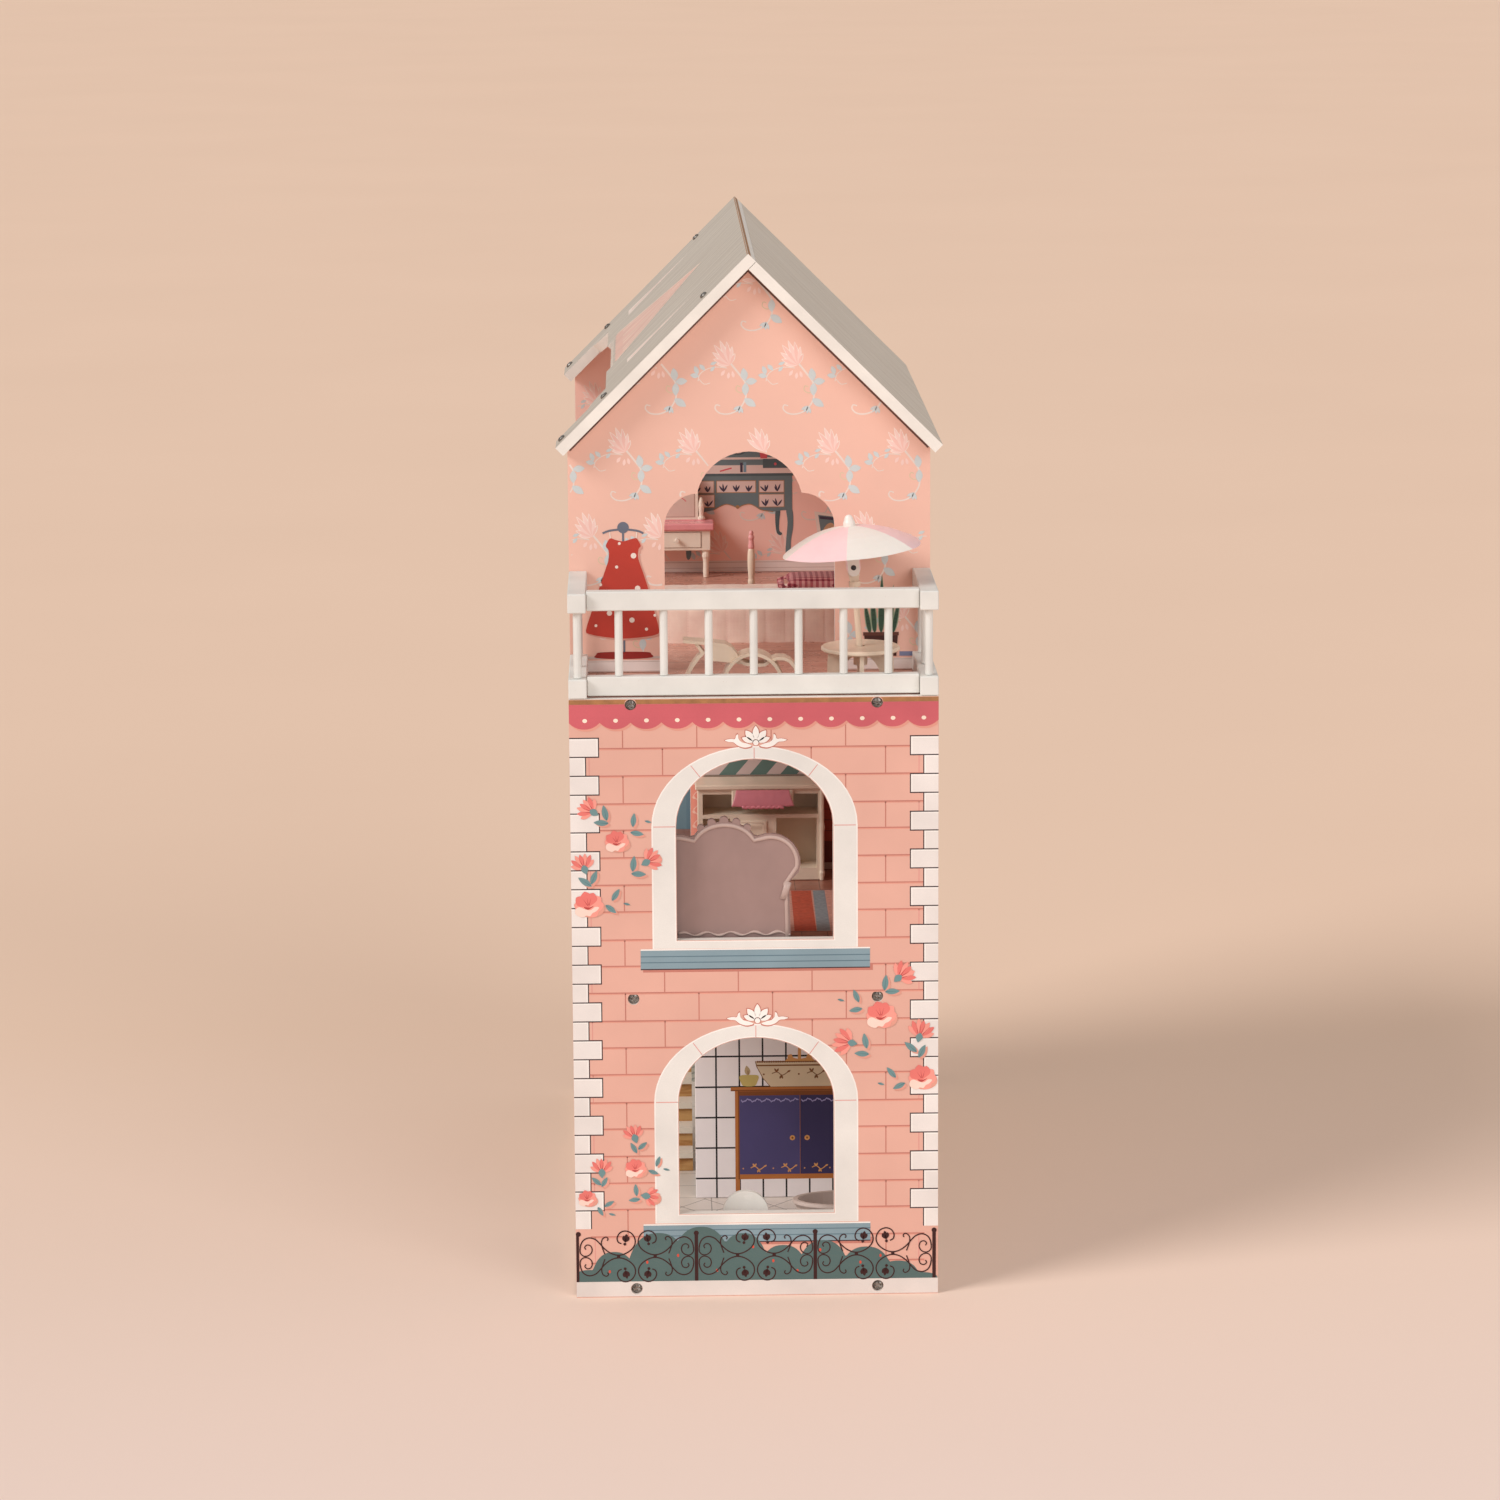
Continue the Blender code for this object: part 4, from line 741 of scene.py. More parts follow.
def wall_art(name, O, U, N, flowers):
    pr = Print(name, O, U, (0, 0, 1), N)
    # brick courses, broken at the windows and clear of the corner stones
    def segments(z, x0, x1):
        for w in WINDOWS:
            h = brick_half(z, w["ob"], w["spring"], w["oa"])
            if h and h > 4:
                return [(x0, -h + 2), (h - 2, x1)]
        return [(x0, x1)]
    for z in BRICK_Z:
        for a, b in segments(z, -124.0, 124.8):
            if b > a:
                pr.rect(a, z - 0.45, b, z + 0.45, I["line"], 0)
                pr.rect(a, z - 1.25, b, z - 0.47, I["brickshade"], 0)
    tops = [434.0] + BRICK_Z[:-1]
    for i, (zt, zb) in enumerate(zip(tops, BRICK_Z)):
        for x in (JOINT_A if i % 2 == 0 else JOINT_B):
            hid = False
            for w in WINDOWS:
                h = brick_half((zt + zb) / 2, w["ob"], w["spring"], w["oa"])
                if h and abs(x) < h - 1:
                    hid = True
            top = zt
            if not hid:
                for w in WINDOWS:
                    for zz in (zt, zb):
                        h = brick_half(zz, w["ob"], w["spring"], w["oa"])
                        if h and abs(x) < h - 3:
                            if zz == zt:
                                top = (zt + zb) / 2
                pr.rect(x - 0.42, zb + 0.5, x + 0.42, top - (0.5 if i else 0.0), I["line"], 0)
    for side in (-1, 1):
        for i in range(len(BRICK_Z) - 1):
            if i % 2 == 0:
                pr.rect(side * 120.6 - 0.3, BRICK_Z[i + 1] + 0.5, side * 120.6 + 0.3, BRICK_Z[i] - 0.5, I["rose"], 0)
    # corner stones
    zq = [425.3, 411.2, 397.1, 383, 368.9, 354.8, 340.6, 326.4, 312.2, 298, 283.7, 269.5, 255.2, 240.8, 226.5, 212.1, 197.7, 183.3, 168.9, 154.5, 140, 125.5, 111, 96.4, 81.9, 67.3, 52.7]
    for side, wide, narrow, dz in ((-1, 114.0, 123.6, 0.0), (1, 114.7, 124.5, -0.6)):
        for i in range(len(zq) - 1):
            zt, zb = zq[i] + dz, zq[i + 1] + dz
            inner = wide if i % 2 == 0 else narrow
            a, b = sorted((side * 134.9, side * inner))
            g = 0.45 if i % 2 == 0 else -0.46
            if side < 0:
                pr.rect(a, zb - g, b + 0.8, zt + g, I["dark"], 1)
                pr.rect(a, zb + 0.45, b, zt - 0.45, I["light"], 2)
                pr.rect(a, zb + 0.5, b - 1.1, zt - 1.4, I["quoin"], 3)
            else:
                pr.rect(a - 0.8, zb - g, b, zt + g, I["dark"], 1)
                pr.rect(a, zb + 0.45, b, zt - 0.45, I["light"], 2)
                pr.rect(a + 1.1, zb + 0.5, b, zt - 1.4, I["quoin"], 3)
    # window stone surrounds with joints, sills and a carved flower over each
    for w in WINDOWS:
        inner = arch_pts(57.9, w["bottom"] - 0.4, w["spring"], w["apex"] + 0.4)
        outer = arch_pts(74.5, w["ob"], w["spring"], w["oa"])
        glow = arch_pts(75.6, w["ob"] - 0.4, w["spring"], w["oa"] + 1.0)
        pr.strip(glow, outer, I["light"], 1, closed=True)
        pr.strip(outer, inner, I["sur"], 3, closed=True)
        rim_a = arch_pts(58.8, w["bottom"] - 1.2, w["spring"], w["apex"] + 1.2)
        pr.strip(rim_a, arch_pts(58.0, w["bottom"] - 0.5, w["spring"], w["apex"] + 0.5), I["light"], 4, closed=True)
        for t0, t1 in ((90, 90), (47, 51.2), (133, 128.8)):
            a, c = math.radians(t0), math.radians(t1)
            pr.line([(58.3 * math.cos(a), w["spring"] + (w["apex"] - w["spring"] + 0.6) * math.sin(a)), (74.0 * math.cos(c), w["spring"] + (w["oa"] - w["spring"] - 0.4) * math.sin(c))], 0.55, I["rose"], 4)
        for s in (-1, 1):
            a, b = sorted((s * 58.3, s * 74.2))
            pr.rect(a, w["spring"] - 0.3, b, w["spring"] + 0.3, I["rose"], 4)
        s0, s1 = w["sill"]
        pr.rect(-82.8, s0 - 1.9, 86.6, s0 + 3.0, I["line"], 1)
        pr.rect(-84.5, s0, 84.5, s1, I["sill"], 2)
        pr.rect(-84.5, s1 - 1.0, 84.5, s1, I["light"], 3)
        pr.rect(-84.5, s0 + 5.1, 84.5, s0 + 5.8, I["sill2"], 3)
        pr.rect(-84.5, s0 + 9.6, 84.5, s0 + 10.3, I["sill2"], 3)
        pr.rect(-84.5, s0 - 0.1, 84.5, s0 + 0.7, I["dark"], 3)
        cz = w["oa"] + 3.2
        for grow, mt, ly in ((0.9, "line", 4), (0.0, "light", 5)):
            for ang, L, W in ((158, 9.4, 4.0), (22, 9.4, 4.0), (128, 10.6, 4.8), (52, 10.6, 4.8), (90, 11.6, 4.6)):
                a = math.radians(ang)
                pr.poly(petal(1.3 + 1.6 * math.cos(a), cz + 1.2 * math.sin(a), ang, L + grow, W + grow * 1.3, 1.1), I[mt], ly)
            pr.disc(1.3, cz + 0.2, 2.0 + grow * 0.6, I[mt], ly + 1, 14)
            for s in (-1, 1):
                wing = [(3, -2.2), (8, -3.4), (13, -2.0), (16.4, 0.6), (20, 1.0), (22.6, 2.2), (18.5, 3.2), (15.4, 3.0), (14.4, 5.6), (13.0, 6.4), (12.6, 3.2), (10.2, 0.6), (6.4, -0.4)]
                out = smooth([(1.3 + s * u, cz + v) for u, v in wing], 4, True)
                if grow:
                    c = (1.3 + s * 12.0, cz + 0.5)
                    out = [(c[0] + (u - c[0]) * 1.07, c[1] + (v - c[1]) * 1.20 - 0.2) for u, v in out]
                pr.poly(out, I[mt], ly)
    # top: raw board edge and the scalloped valance; bottom: pale band
    holed(pr, -134.9, 134.9, 450.3, 453.7, 450.3, I["raw"], 0)
    sc = []
    for j in range(12):
        x0 = -135 + 22.5 * j
        for k in range(11):
            t = k / 10
            sc.append((max(-134.9, min(134.9, x0 + 22.5 * t)), 436.6 - 4.8 * (1 - abs(2 * t - 1) ** 2.3)))
    pr.poly([(u + 1.2, v - 1.5) for u, v in sc if u < 133.4] + [(134.6, 438), (-134.6, 438)], I["brickshade"], 4)
    holed(pr, -134.9, 134.9, 440.0, 450.25, 450.25, I["val"], 5)
    pr.poly(sc + [(134.9, 440.02), (-134.9, 440.02)], I["val"], 5)
    for j in range(12):
        pr.disc(-123.4 + 22.5 * j, 438.2, 1.75, I["cream"], 6, 14, 1.5)
    holed(pr, -134.9, 134.9, 0.6, 12.4, 6.5, I["band"], 2)
    # hedge and scrolled railing
    humps = ((-124.8, 21.5, 15), (-106.7, 35.2, 17), (-73.8, 49.5, 24), (-41.7, 53.9, 24), (-10.5, 48.6, 20), (19.3, 39, 19), (49.1, 42.4, 20), (81.2, 37, 20), (105.1, 25.8, 16), (122.3, 16.6, 13))
    env = []
    x = -134.8
    while x <= 134.8:
        z = 12.4
        for hx, hz, r in humps:
            d = abs(x - hx) / r
            if d < 1:
                z = max(z, 11.3 + (hz - 11.3) * math.sqrt(1 - d ** 2.4))
        env.append((x, z))
        x += 1.2
    pr.poly([(-134.8, 12.2)] + env + [(134.6, 12.2)], I["bush"], 5)
    for dx, dz in ((-82, 27), (-59, 32), (-30, 20), (12, 27), (30, 19), (47, 35), (77, 25), (92, 30), (-110, 20), (-3, 38)):
        pr.disc(dx, dz, 0.9, I["red"], 6, 8, 1.3)
    for px in (-134, -45.3, 43.3, 132):
        w0 = max(px - 1.3, -134.8)
        pr.rect(w0, 12.2, px + 1.3, 48.5, I["fence"], 7)
        pr.disc(px + (0.9 if px < -130 else 0), 49.2, 1.9, I["fence"], 8)
    for base in (-134.0, -45.3, 43.3):
        mid = base + 44.3
        for s in (-1, 1):
            for v in (-1, 1):
                def Q(u, z, s=s, v=v, mid=mid):
                    return (mid + s * (u + 1.0), 31.7 + v * (z - 31.7))
                big = [(-43.3, 37.5), (-42.6, 41.2), (-40.6, 44.6), (-36.6, 46.4), (-32.0, 45.2), (-28.6, 42.0), (-25.4, 38.2), (-21.4, 34.9), (-17.0, 33.0), (-12.6, 32.9), (-8.2, 34.6), (-4.2, 37.8), (-2.2, 41.8), (-2.6, 46.0), (-5.2, 49.8), (-9.4, 51.4), (-13.4, 50.0), (-15.5, 46.4), (-14.9, 43.0), (-12.4, 41.6)]
                pr.line(smooth([Q(*q) for q in big], 3), 0.95, I["fence"], 7)
                sp = [(-43.3, 37.5), (-43.0, 34.6), (-40.8, 32.4), (-37.8, 32.4), (-35.2, 34.2), (-34.2, 37.2), (-35.4, 40.2), (-38.0, 40.9), (-39.8, 39.2), (-38.9, 37.4)]
                pr.line(smooth([Q(*q) for q in sp], 3), 0.85, I["fence"], 8)
                curl = [(-24.8, 33.6), (-26.2, 37.4), (-27.3, 41.6), (-26.6, 45.2), (-24.0, 46.9), (-22.3, 45.6), (-23.0, 44.0)]
                pr.line(smooth([Q(*q) for q in curl], 3), 0.85, I["fence"], 9)
                a, c = Q(-9.6, 42.6), Q(-8.6, 48.0)
                ang = math.degrees(math.atan2(c[1] - a[1], c[0] - a[0]))
                for off, L in ((0, 6.6), (24, 5.4), (-24, 5.4)):
                    pr.poly(petal(a[0], a[1], ang + off, L, 2.9, 1.2), I["fence"], 8 + (off != 0))
                pr.poly(petal(a[0], a[1], ang + 180, 2.6, 2.2, 1.1), I["fence"], 10)
        pr.disc(mid - 13.6, 31.7, 1.3, I["fence"], 10)
        pr.disc(mid + 13.6, 31.7, 1.3, I["fence"], 10)
    if flowers:
        for side, cal, l1, l2, kind in (
            ((-123.4, 373.7), (-117.2, 369.8), (-109.4, 369.5, 102), (-112.4, 362.1, 176), 0),
            ((-73.9, 335.4), (-80.2, 331.9), (-89, 331.2, 84), (-85.3, 323.5, -4), 0),
            ((-126.8, 333.7), (-124.6, 326.9), (-124.7, 317.9, 146), (-118.1, 321.2, 68), 0),
            ((110.8, 247.7), (104.8, 242.3), (95.8, 239.3, 84), (101, 232.7, 2), 0),
            ((63.2, 195.4), (71.6, 193.7), (81, 195.2, 100), (78.3, 185.5, 176), 0),
            ((122.9, 204.8), (120.7, 197), (114.6, 190.1, 140), (122.9, 186.9, 64), 0),
            ((-91.8, 128.4), (-89.9, 122.3), (-91, 115.3, 120), (-84.6, 116.9, 40), 1),
            ((-115.1, 102.7), (-114.9, 96), (-119, 89.9, 140), (-113.1, 89.4, 60), 1),
            ((-76.9, 77.4), (-82.9, 78.4), (-89.7, 82.9, 96), (-91, 75.4, 186), 1),
        ):
            k = 0.78 if kind else 1.0
            leaf(pr, *l1, 12.0 * k, 4.6 * k, 11)
            leaf(pr, *l2, 11.0 * k, 4.4 * k, 12)
            bud_flower(pr, *side, *cal, 13)
        for c, w, l1, l2, tiny in (
            ((-101, 347.2), 19, (-88.6, 364, 84), (-86.2, 354, -10), (-78, 362.7)),
            ((-122.2, 299.6), 23, (-102.3, 308, 58), (-105.9, 297.4, -38), (-94.1, 301)),
            ((92.7, 213.7), 24, (74.3, 229.5, 112), (73.9, 219, 190), (63, 226.5)),
            ((123.7, 165.8), 22.0, (100.2, 170.8, 130), (105.9, 160.6, 206), (92.5, 162.3)),
            ((-89.9, 98.8), 17, (-73.2, 104.8, 70), (-76.7, 96.5, -20), (-66.9, 98.5)),
            ((-126.0, 76.3), 14.5, (-109.8, 72.5, 30), (-116.3, 66.8, -60), (-107.6, 64.3)),
        ):
            k = 1.0 if w > 18 else 0.8
            leaf(pr, *l1, 10.5 * k, 4.0 * k, 11)
            leaf(pr, *l2, 10.0 * k, 4.0 * k, 12)
            leaf(pr, tiny[0], tiny[1], -14, 5.2, 1.7, 11, shadow=False)
            open_flower(pr, min(max(c[0], -134.5 + w * 0.52), 134.5 - w * 0.52), c[1], w, 14)
    return pr.end()


wall_art("front_wall_print", (0, 0, 0), (1, 0, 0), (0, -1, 0), True)
wall_art("rear_wall_print", (0, 585, 0), (-1, 0, 0), (0, 1, 0), True)

# ---------------------------------------------------------------- wallpaper and balcony print on the gables
W = {
    "leaf": ink("paper_leaf", (206, 212, 212)),
    "stem": ink("paper_stem", (236, 218, 208)),
    "head": ink("paper_head", (245, 198, 186)),
    "head2": ink("paper_head_light", (249, 211, 201)),
    "edge": ink("paper_head_edge", (252, 231, 221)),
    "ochre": ink("paper_ochre", (222, 200, 168)),
    "skirt": ink("paper_skirting", (238, 226, 220)),
    "skirt2": ink("paper_skirting_line", (206, 186, 178)),
    "red": ink("dress_red", (192, 62, 48)),
    "red2": ink("dress_red_dark", (152, 44, 38)),
    "spot": ink("dress_spot", (244, 226, 214)),
    "steel": ink("stand_grey", (108, 112, 126)),
    "brown": ink("pot_brown", (74, 42, 36)),
    "brown2": ink("pot_brown_top", (104, 62, 52)),
    "green": ink("plant_green", (58, 86, 68)),
    "green2": ink("plant_green_pale", (152, 170, 142)),
    "green3": ink("plant_green_dark", (34, 54, 46)),
    "blue": ink("strip_blue", (126, 134, 164)),
}


def motif(pr, hx, hz, s=0.743):
    """One flowering spray of the wallpaper; offsets in units of s mm, downwards positive."""
    def q(u, v):
        return (hx + u * s, hz - v * s)
    base = q(5, 11)
    for k, (ang, L, wd) in enumerate(((176, 13, 3.2), (160, 17, 3.5), (144, 21, 3.7), (128, 25, 3.8), (112, 26, 3.7), (98, 23, 3.6), (83, 18, 3.2), (66, 12, 2.7))):
        pr.poly(petal(base[0], base[1], ang, (L + 0.9) * s, (wd + 1.3) * s, 1.1), W["edge"], 0.2 * k)
        pr.poly(petal(base[0], base[1], ang, L * s, wd * s, 1.1), W["head" if k % 2 else "head2"], 0.2 * k + 0.4)
    for u, v, ang in ((-8, 8, 200), (-10, 12, 230), (4, 18, 262), (0, 16, 236), (7, 17, 285)):
        c = q(u, v)
        pr.poly(petal(c[0], c[1], ang, 7 * s, 3.2 * s, 1.2), W["head2" if u > -5 else "leaf"], 1.8)
    pr.line(smooth([q(6, 10), q(14, 20), q(20, 29), q(21, 40), q(19, 48), q(13, 56), q(4, 60), q(-5, 59.5), q(-10, 55), q(-9, 51), q(-5, 52)], 5), lambda t: 1.6 * s * (1.25 - 0.5 * t), W["stem"], 1.0)
    pr.line(smooth([q(2, 14), q(-9, 13), q(-18, 15), q(-25, 20), q(-27, 27)], 4), 0.9 * s, W["stem"], 1.2)
    pr.line(smooth([q(-26, 25), q(-21, 30), q(-15, 29)], 3), 0.8 * s, W["stem"], 1.3)
    pr.line(smooth([q(20, 38), q(15, 39), q(11, 36), q(12, 32), q(15, 33)], 4), 0.9 * s, W["ochre"], 1.3)
    for u, v, ang, L, wd in ((20, 27, 98, 13, 7.2), (20, 28, 4, 12, 7.0), (20.5, 29, 268, 13, 7.0), (19, 45, -34, 14, 7.4), (-26, 22, 172, 9, 5.0), (-27, 20, 112, 9, 4.8), (-20, 16, 134, 8, 4.2)):
        c = q(u, v)
        pr.poly(petal(c[0], c[1], ang, L * s, wd * s, 0.95), W["leaf"], 2.2)
    for u, v, ang in ((15, 52, 235), (15, 52, 262), (15, 52, 288), (15, 52, 210)):
        c = q(u, v)
        pr.poly(petal(c[0], c[1], ang, 8 * s, 2.8 * s, 1.2), W["leaf"], 2.6 + 0.1 * (ang % 3))


def under_roof(x, z, margin=1.0):
    return z < 768.6 - 11.6 - margin - abs(x) * (768.6 - 625.9) / 143.6 - 1.5 and abs(x) < 134.2


def door_clear(x, z):
    if z < 563.5 and abs(x) < 65.2:
        return False
    return math.hypot(abs(x) - 38, z - 563.5) > 26.6 and math.hypot(x, z - 580.4) > 41.0


HEADS = [(2.4, 755.3), (-69.2, 693.6), (-17.4, 693.2), (33.1, 692.7), (84.3, 692.3), (-95.5, 629), (-43.8, 628.5), (8, 628), (59.8, 627.5), (111.7, 627.1),
         (-120.6, 692.8), (-121, 565.5), (-69.8, 565), (-17.6, 565), (34.2, 565), (86, 565), (-146, 629), (-95.5, 502), (-43.8, 502), (8, 502), (59.8, 502), (111.7, 502), (-120.6, 756), (137, 565)]

pr = Print("gable_print", (0, 108.5, 0), (1, 0, 0), (0, 0, 1), (0, -1, 0))
pr.keep = lambda x, z: under_roof(x, z) and door_clear(x, z) and z > 464
for h in HEADS:
    motif(pr, *h)
pr.keep = lambda x, z: abs(x) < 134.8
for a, b in ((-134.7, -65.0), (65.0, 134.7)):
    pr.rect(a, 454.6, b, 463.4, W["skirt"], 4)
    pr.rect(a, 462.2, b, 462.7, W["skirt2"], 5)
    pr.rect(a, 454.6, b, 455.4, W["skirt2"], 5)
# a spotted dress on a stand
pr.poly([(-122.6, 464.6), (-66.6, 464.6), (-66.6, 466.5), (-122.6, 466.5)], W["skirt2"], 5)
pr.poly(smooth([(-115.4, 465.3), (-115.4, 468.0), (-112.6, 469.6), (-95, 470.0), (-77.2, 469.6), (-74.2, 468.0), (-74.2, 465.3), (-95, 464.4)], 4, True), W["red2"], 6)
pr.rect(-95.1, 469.5, -93.6, 566.0, W["steel"], 6)
pr.disc(-94.3, 564.0, 4.3, W["steel"], 7, 24)
pr.line(smooth([(-109.6, 559.8), (-104, 561.8), (-94.3, 562.6), (-84.2, 561.6), (-79.2, 559.6)], 5), 1.5, W["steel"], 8)
for x0, z0, x1, z1 in ((-104.4, 560.6, -103.7, 554.6), (-84.2, 560.4, -84.8, 554.4)):
    pr.line([(x0, z0), (x1, z1)], 0.8, W["spot"], 9)
dress = [(-105.2, 554.6), (-103.4, 556.0), (-100.4, 554.9), (-94.8, 553.6), (-89.2, 555.0), (-84.8, 556.0), (-83.0, 553.9), (-81.2, 550.1), (-82.9, 547.6), (-83.4, 541.9), (-81.9, 536.2), (-79.5, 529.3), (-75.9, 517.3), (-72.0, 502.0), (-68.2, 486.6), (-70.4, 482.8), (-80.1, 481.0), (-95.7, 480.0), (-111.3, 481.7), (-119.8, 483.6), (-122.9, 486.4), (-118.0, 502.0), (-112.6, 518.3), (-107.5, 533.3), (-105.5, 539.6), (-105.2, 546.6), (-107.3, 550.2)]
pr.poly(smooth([(u + 1.6, v - 1.4) for u, v in dress], 3, True), ink("wall_shadow", (216, 156, 140)), 8)
pr.poly(smooth(dress, 3, True), W["red"], 10)
for x, z, r in ((-97.2, 552.0, 1.1), (-99.4, 534.3, 1.2), (-111.6, 521.0, 1.2), (-86.7, 542.7, 2.1), (-83.9, 518.0, 2.1), (-71.2, 497.5, 1.1), (-105.2, 499.4, 2.0), (-94.6, 509.0, 1.2), (-88.4, 494.0, 2.0), (-115.4, 490.0, 1.1), (-77.6, 487.0, 1.2), (-99.5, 486.0, 1.2)):
    pr.disc(x, z, r, W["spot"], 11, 14)
# a potted plant with sword leaves
for k, (x0, x1, z1, w) in enumerate(((90, 85.6, 508, 4.2), (107, 112.4, 510, 4.2), (93.5, 91.2, 517, 4.6), (104, 107.6, 519, 4.8), (98.2, 99.0, 527, 5.0))):
    L = math.hypot(x1 - x0, z1 - 482)
    ang = math.degrees(math.atan2(z1 - 482, x1 - x0))
    pr.poly(petal(x0, 482, ang, L, w + 0.2, 0.62, start=0.0), W["green2"], 6 + k * 0.5)
    pr.poly(petal(x0, 482, ang, L * 0.97, w - 1.1, 0.62), W["green"], 8.6 + k * 0.2)
    a = math.radians(ang)
    for j in range(3, 9):
        t = j / 10
        cx, cz = x0 + math.cos(a) * L * t, 482 + math.sin(a) * L * t
        pr.line([(cx - w * 0.24 * (1 - t * 0.6), cz - 0.4), (cx, cz + 0.3), (cx + w * 0.24 * (1 - t * 0.6), cz - 0.4)], 0.45, W["green3"], 10)
pr.poly([(86.8, 464.8), (109.6, 464.8), (110.9, 482.6), (85.4, 482.6)], W["brown"], 12)
pr.rect(84.8, 480.4, 111.5, 483.0, W["brown2"], 13)
pr.poly([(112.0, 464.8), (130.6, 464.8), (130.6, 468.2), (112.0, 468.2)], W["blue"], 6)
eave = [(x, 754.9 - abs(x) * 0.9937) for x in (-133.5, 0.0, 133.5)]
pr.line(eave[:2], 1.6, ink("eave_shadow_line", (104, 70, 60)), 12)
pr.line(eave[1:], 1.4, pr.mats[-1], 12.5)
pr.end()

pr = Print("gable_inner_print", (0, 116.5, 0), (-1, 0, 0), (0, 0, 1), (0, 1, 0))
pr.keep = lambda x, z: under_roof(x, z, 3.0) and door_clear(x, z) and z > 464 and x > -125
for h in HEADS:
    motif(pr, *h)
pr.end()

pr = Print("rear_gable_print", (0, 585, 0), (-1, 0, 0), (0, 0, 1), (0, 1, 0))
pr.keep = lambda x, z: under_roof(x, z, 2.0) and z > 457
for h in HEADS:
    motif(pr, *h)
pr.end()

# the far gable's inner face: wallpaper, skirting and a painted writing desk
D = {
    "desk": ink("desk_slate", (112, 130, 134)),
    "desk2": ink("desk_slate_dark", (86, 102, 106)),
    "front": ink("desk_drawer", (232, 206, 198)),
    "gold": ink("desk_gold", (176, 132, 92)),
    "leafd": ink("desk_leaf", (74, 66, 84)),
    "shelf": ink("desk_shelf", (236, 212, 204)),
    "red": ink("desk_pencil", (222, 96, 104)),
    "bottle": ink("desk_bottle", (128, 160, 176)),
    "frame": ink("easel_frame", (240, 224, 212)),
    "tan": ink("easel_picture", (204, 166, 130)),
}


def A(cx, cy):
    return (-68.85 + 0.0992 * cx, 566.8 - 0.1004 * cy)


pr = Print("far_wall_print", (0, 577, 0), (1, 0, 0), (0, 0, 1), (0, -1, 0))
pr.keep = lambda x, z: under_roof(x, z, 3.0) and z > 464 and x < 125.5
for hx, hz in HEADS:
    motif(pr, hx * 1.0 - 24.0, hz - 22.0)
pr.keep = None
pr.rect(-134.6, 454.8, 126.0, 464.0, W["skirt"], 4)
pr.rect(-134.6, 462.4, 126.0, 463.0, W["skirt2"], 5)
pr.rect(-134.6, 457.6, 126.0, 458.1, W["skirt2"], 5)
# desk: carcass, curved apron, drawers, legs, hutch shelf
for s in (-1, 1):
    def M(cx, cy, s=s):
        u, v = A(cx, cy)
        return (u if s > 0 else 2 * 0.9 - u, v)
    leg = [(1112, 590), (1122, 700), (1110, 850), (1104, 960), (1122, 1012), (1146, 990), (1150, 860), (1170, 730), (1162, 590)]
    pr.poly(smooth([M(*q) for q in leg], 4, True), D["desk"], 6)
    back = [(1022, 600), (1018, 700), (1030, 790), (1060, 812), (1075, 795), (1052, 770), (1052, 690), (1060, 600)]
    pr.poly(smooth([M(*q) for q in back], 4, True), D["desk2"], 5)
apron = [(395, 305), (1162, 305), (1162, 600), (1080, 600), (1000, 612), (900, 596), (850, 566), (800, 545), (740, 556), (700, 574), (650, 556), (600, 545), (545, 566), (490, 596), (400, 612), (300, 600), (225, 600), (225, 305)]
pr.poly([A(*q) for q in apron], D["desk"], 7)
pr.line(smooth([A(*q) for q in apron[4:14]], 4), 0.7, D["gold"], 8)
for x0, x1, y0, y1 in ((300, 502, 345, 452), (300, 505, 462, 574), (518, 856, 345, 450), (878, 1096, 345, 450), (878, 1096, 460, 574)):
    a, c = A(x0, y1), A(x1, y0)
    pr.rect(a[0], a[1], c[0], c[1], D["gold"], 8)
    pr.rect(a[0] + 0.6, a[1] + 0.6, c[0] - 0.6, c[1] - 0.6, D["front"], 9)
    rnd = random.Random(int(x0 + y0))
    count = 3 if x1 - x0 > 250 else 2
    for j in range(count):
        u = a[0] + (c[0] - a[0]) * (j + 0.6) / (count + 0.2)
        for ang in (60, 95, 128):
            pr.poly(petal(u, a[1] + 1.0, ang + rnd.uniform(-12, 12), 6.2 + rnd.uniform(-1.4, 1.0), 1.5, 1.0), D["leafd"], 10 + 0.3 * (ang % 4))
pr.disc(*A(698, 568), 1.6, D["gold"], 9)
top = [A(215, 308), A(1172, 308), A(1172, 286), A(215, 286)]
pr.poly(top, D["desk2"], 8)
pr.poly([A(250, 286), A(1160, 286), A(1160, 216), A(250, 216)], D["shelf"], 7)
pr.poly([A(250, 216), A(1160, 216), A(1160, 168), A(250, 168)], D["desk"], 7)
pr.poly([A(250, 168), A(1160, 168), A(1160, 150), A(250, 150)], D["shelf"], 7)
pr.poly([A(250, 150), A(1160, 150), A(1160, -60), A(1060, -120), A(705, -170), A(350, -120), A(250, -60)], D["desk"], 7)
pr.disc(*A(705, 40), 9.2, D["desk2"], 8, 24)
pr.disc(*A(705, 40), 7.6, D["front"], 9, 24)
pr.poly([A(915, 242), A(1132, 242), A(1132, 165), A(915, 165)], D["desk2"], 8)
pr.disc(*A(1020, 208), 1.2, D["red"], 9, 10)
pr.poly([A(895, 160), A(950, 160), A(958, 110), A(888, 110)], D["red"], 9)
pr.line([A(550, 266), A(650, 240)], 1.2, D["red"], 9)
pr.poly([A(722, 276), A(744, 276), A(744, 195), A(722, 195)], D["leafd"], 9)
pr.poly([A(750, 276), A(774, 276), A(774, 192), A(750, 192)], D["bottle"], 9)
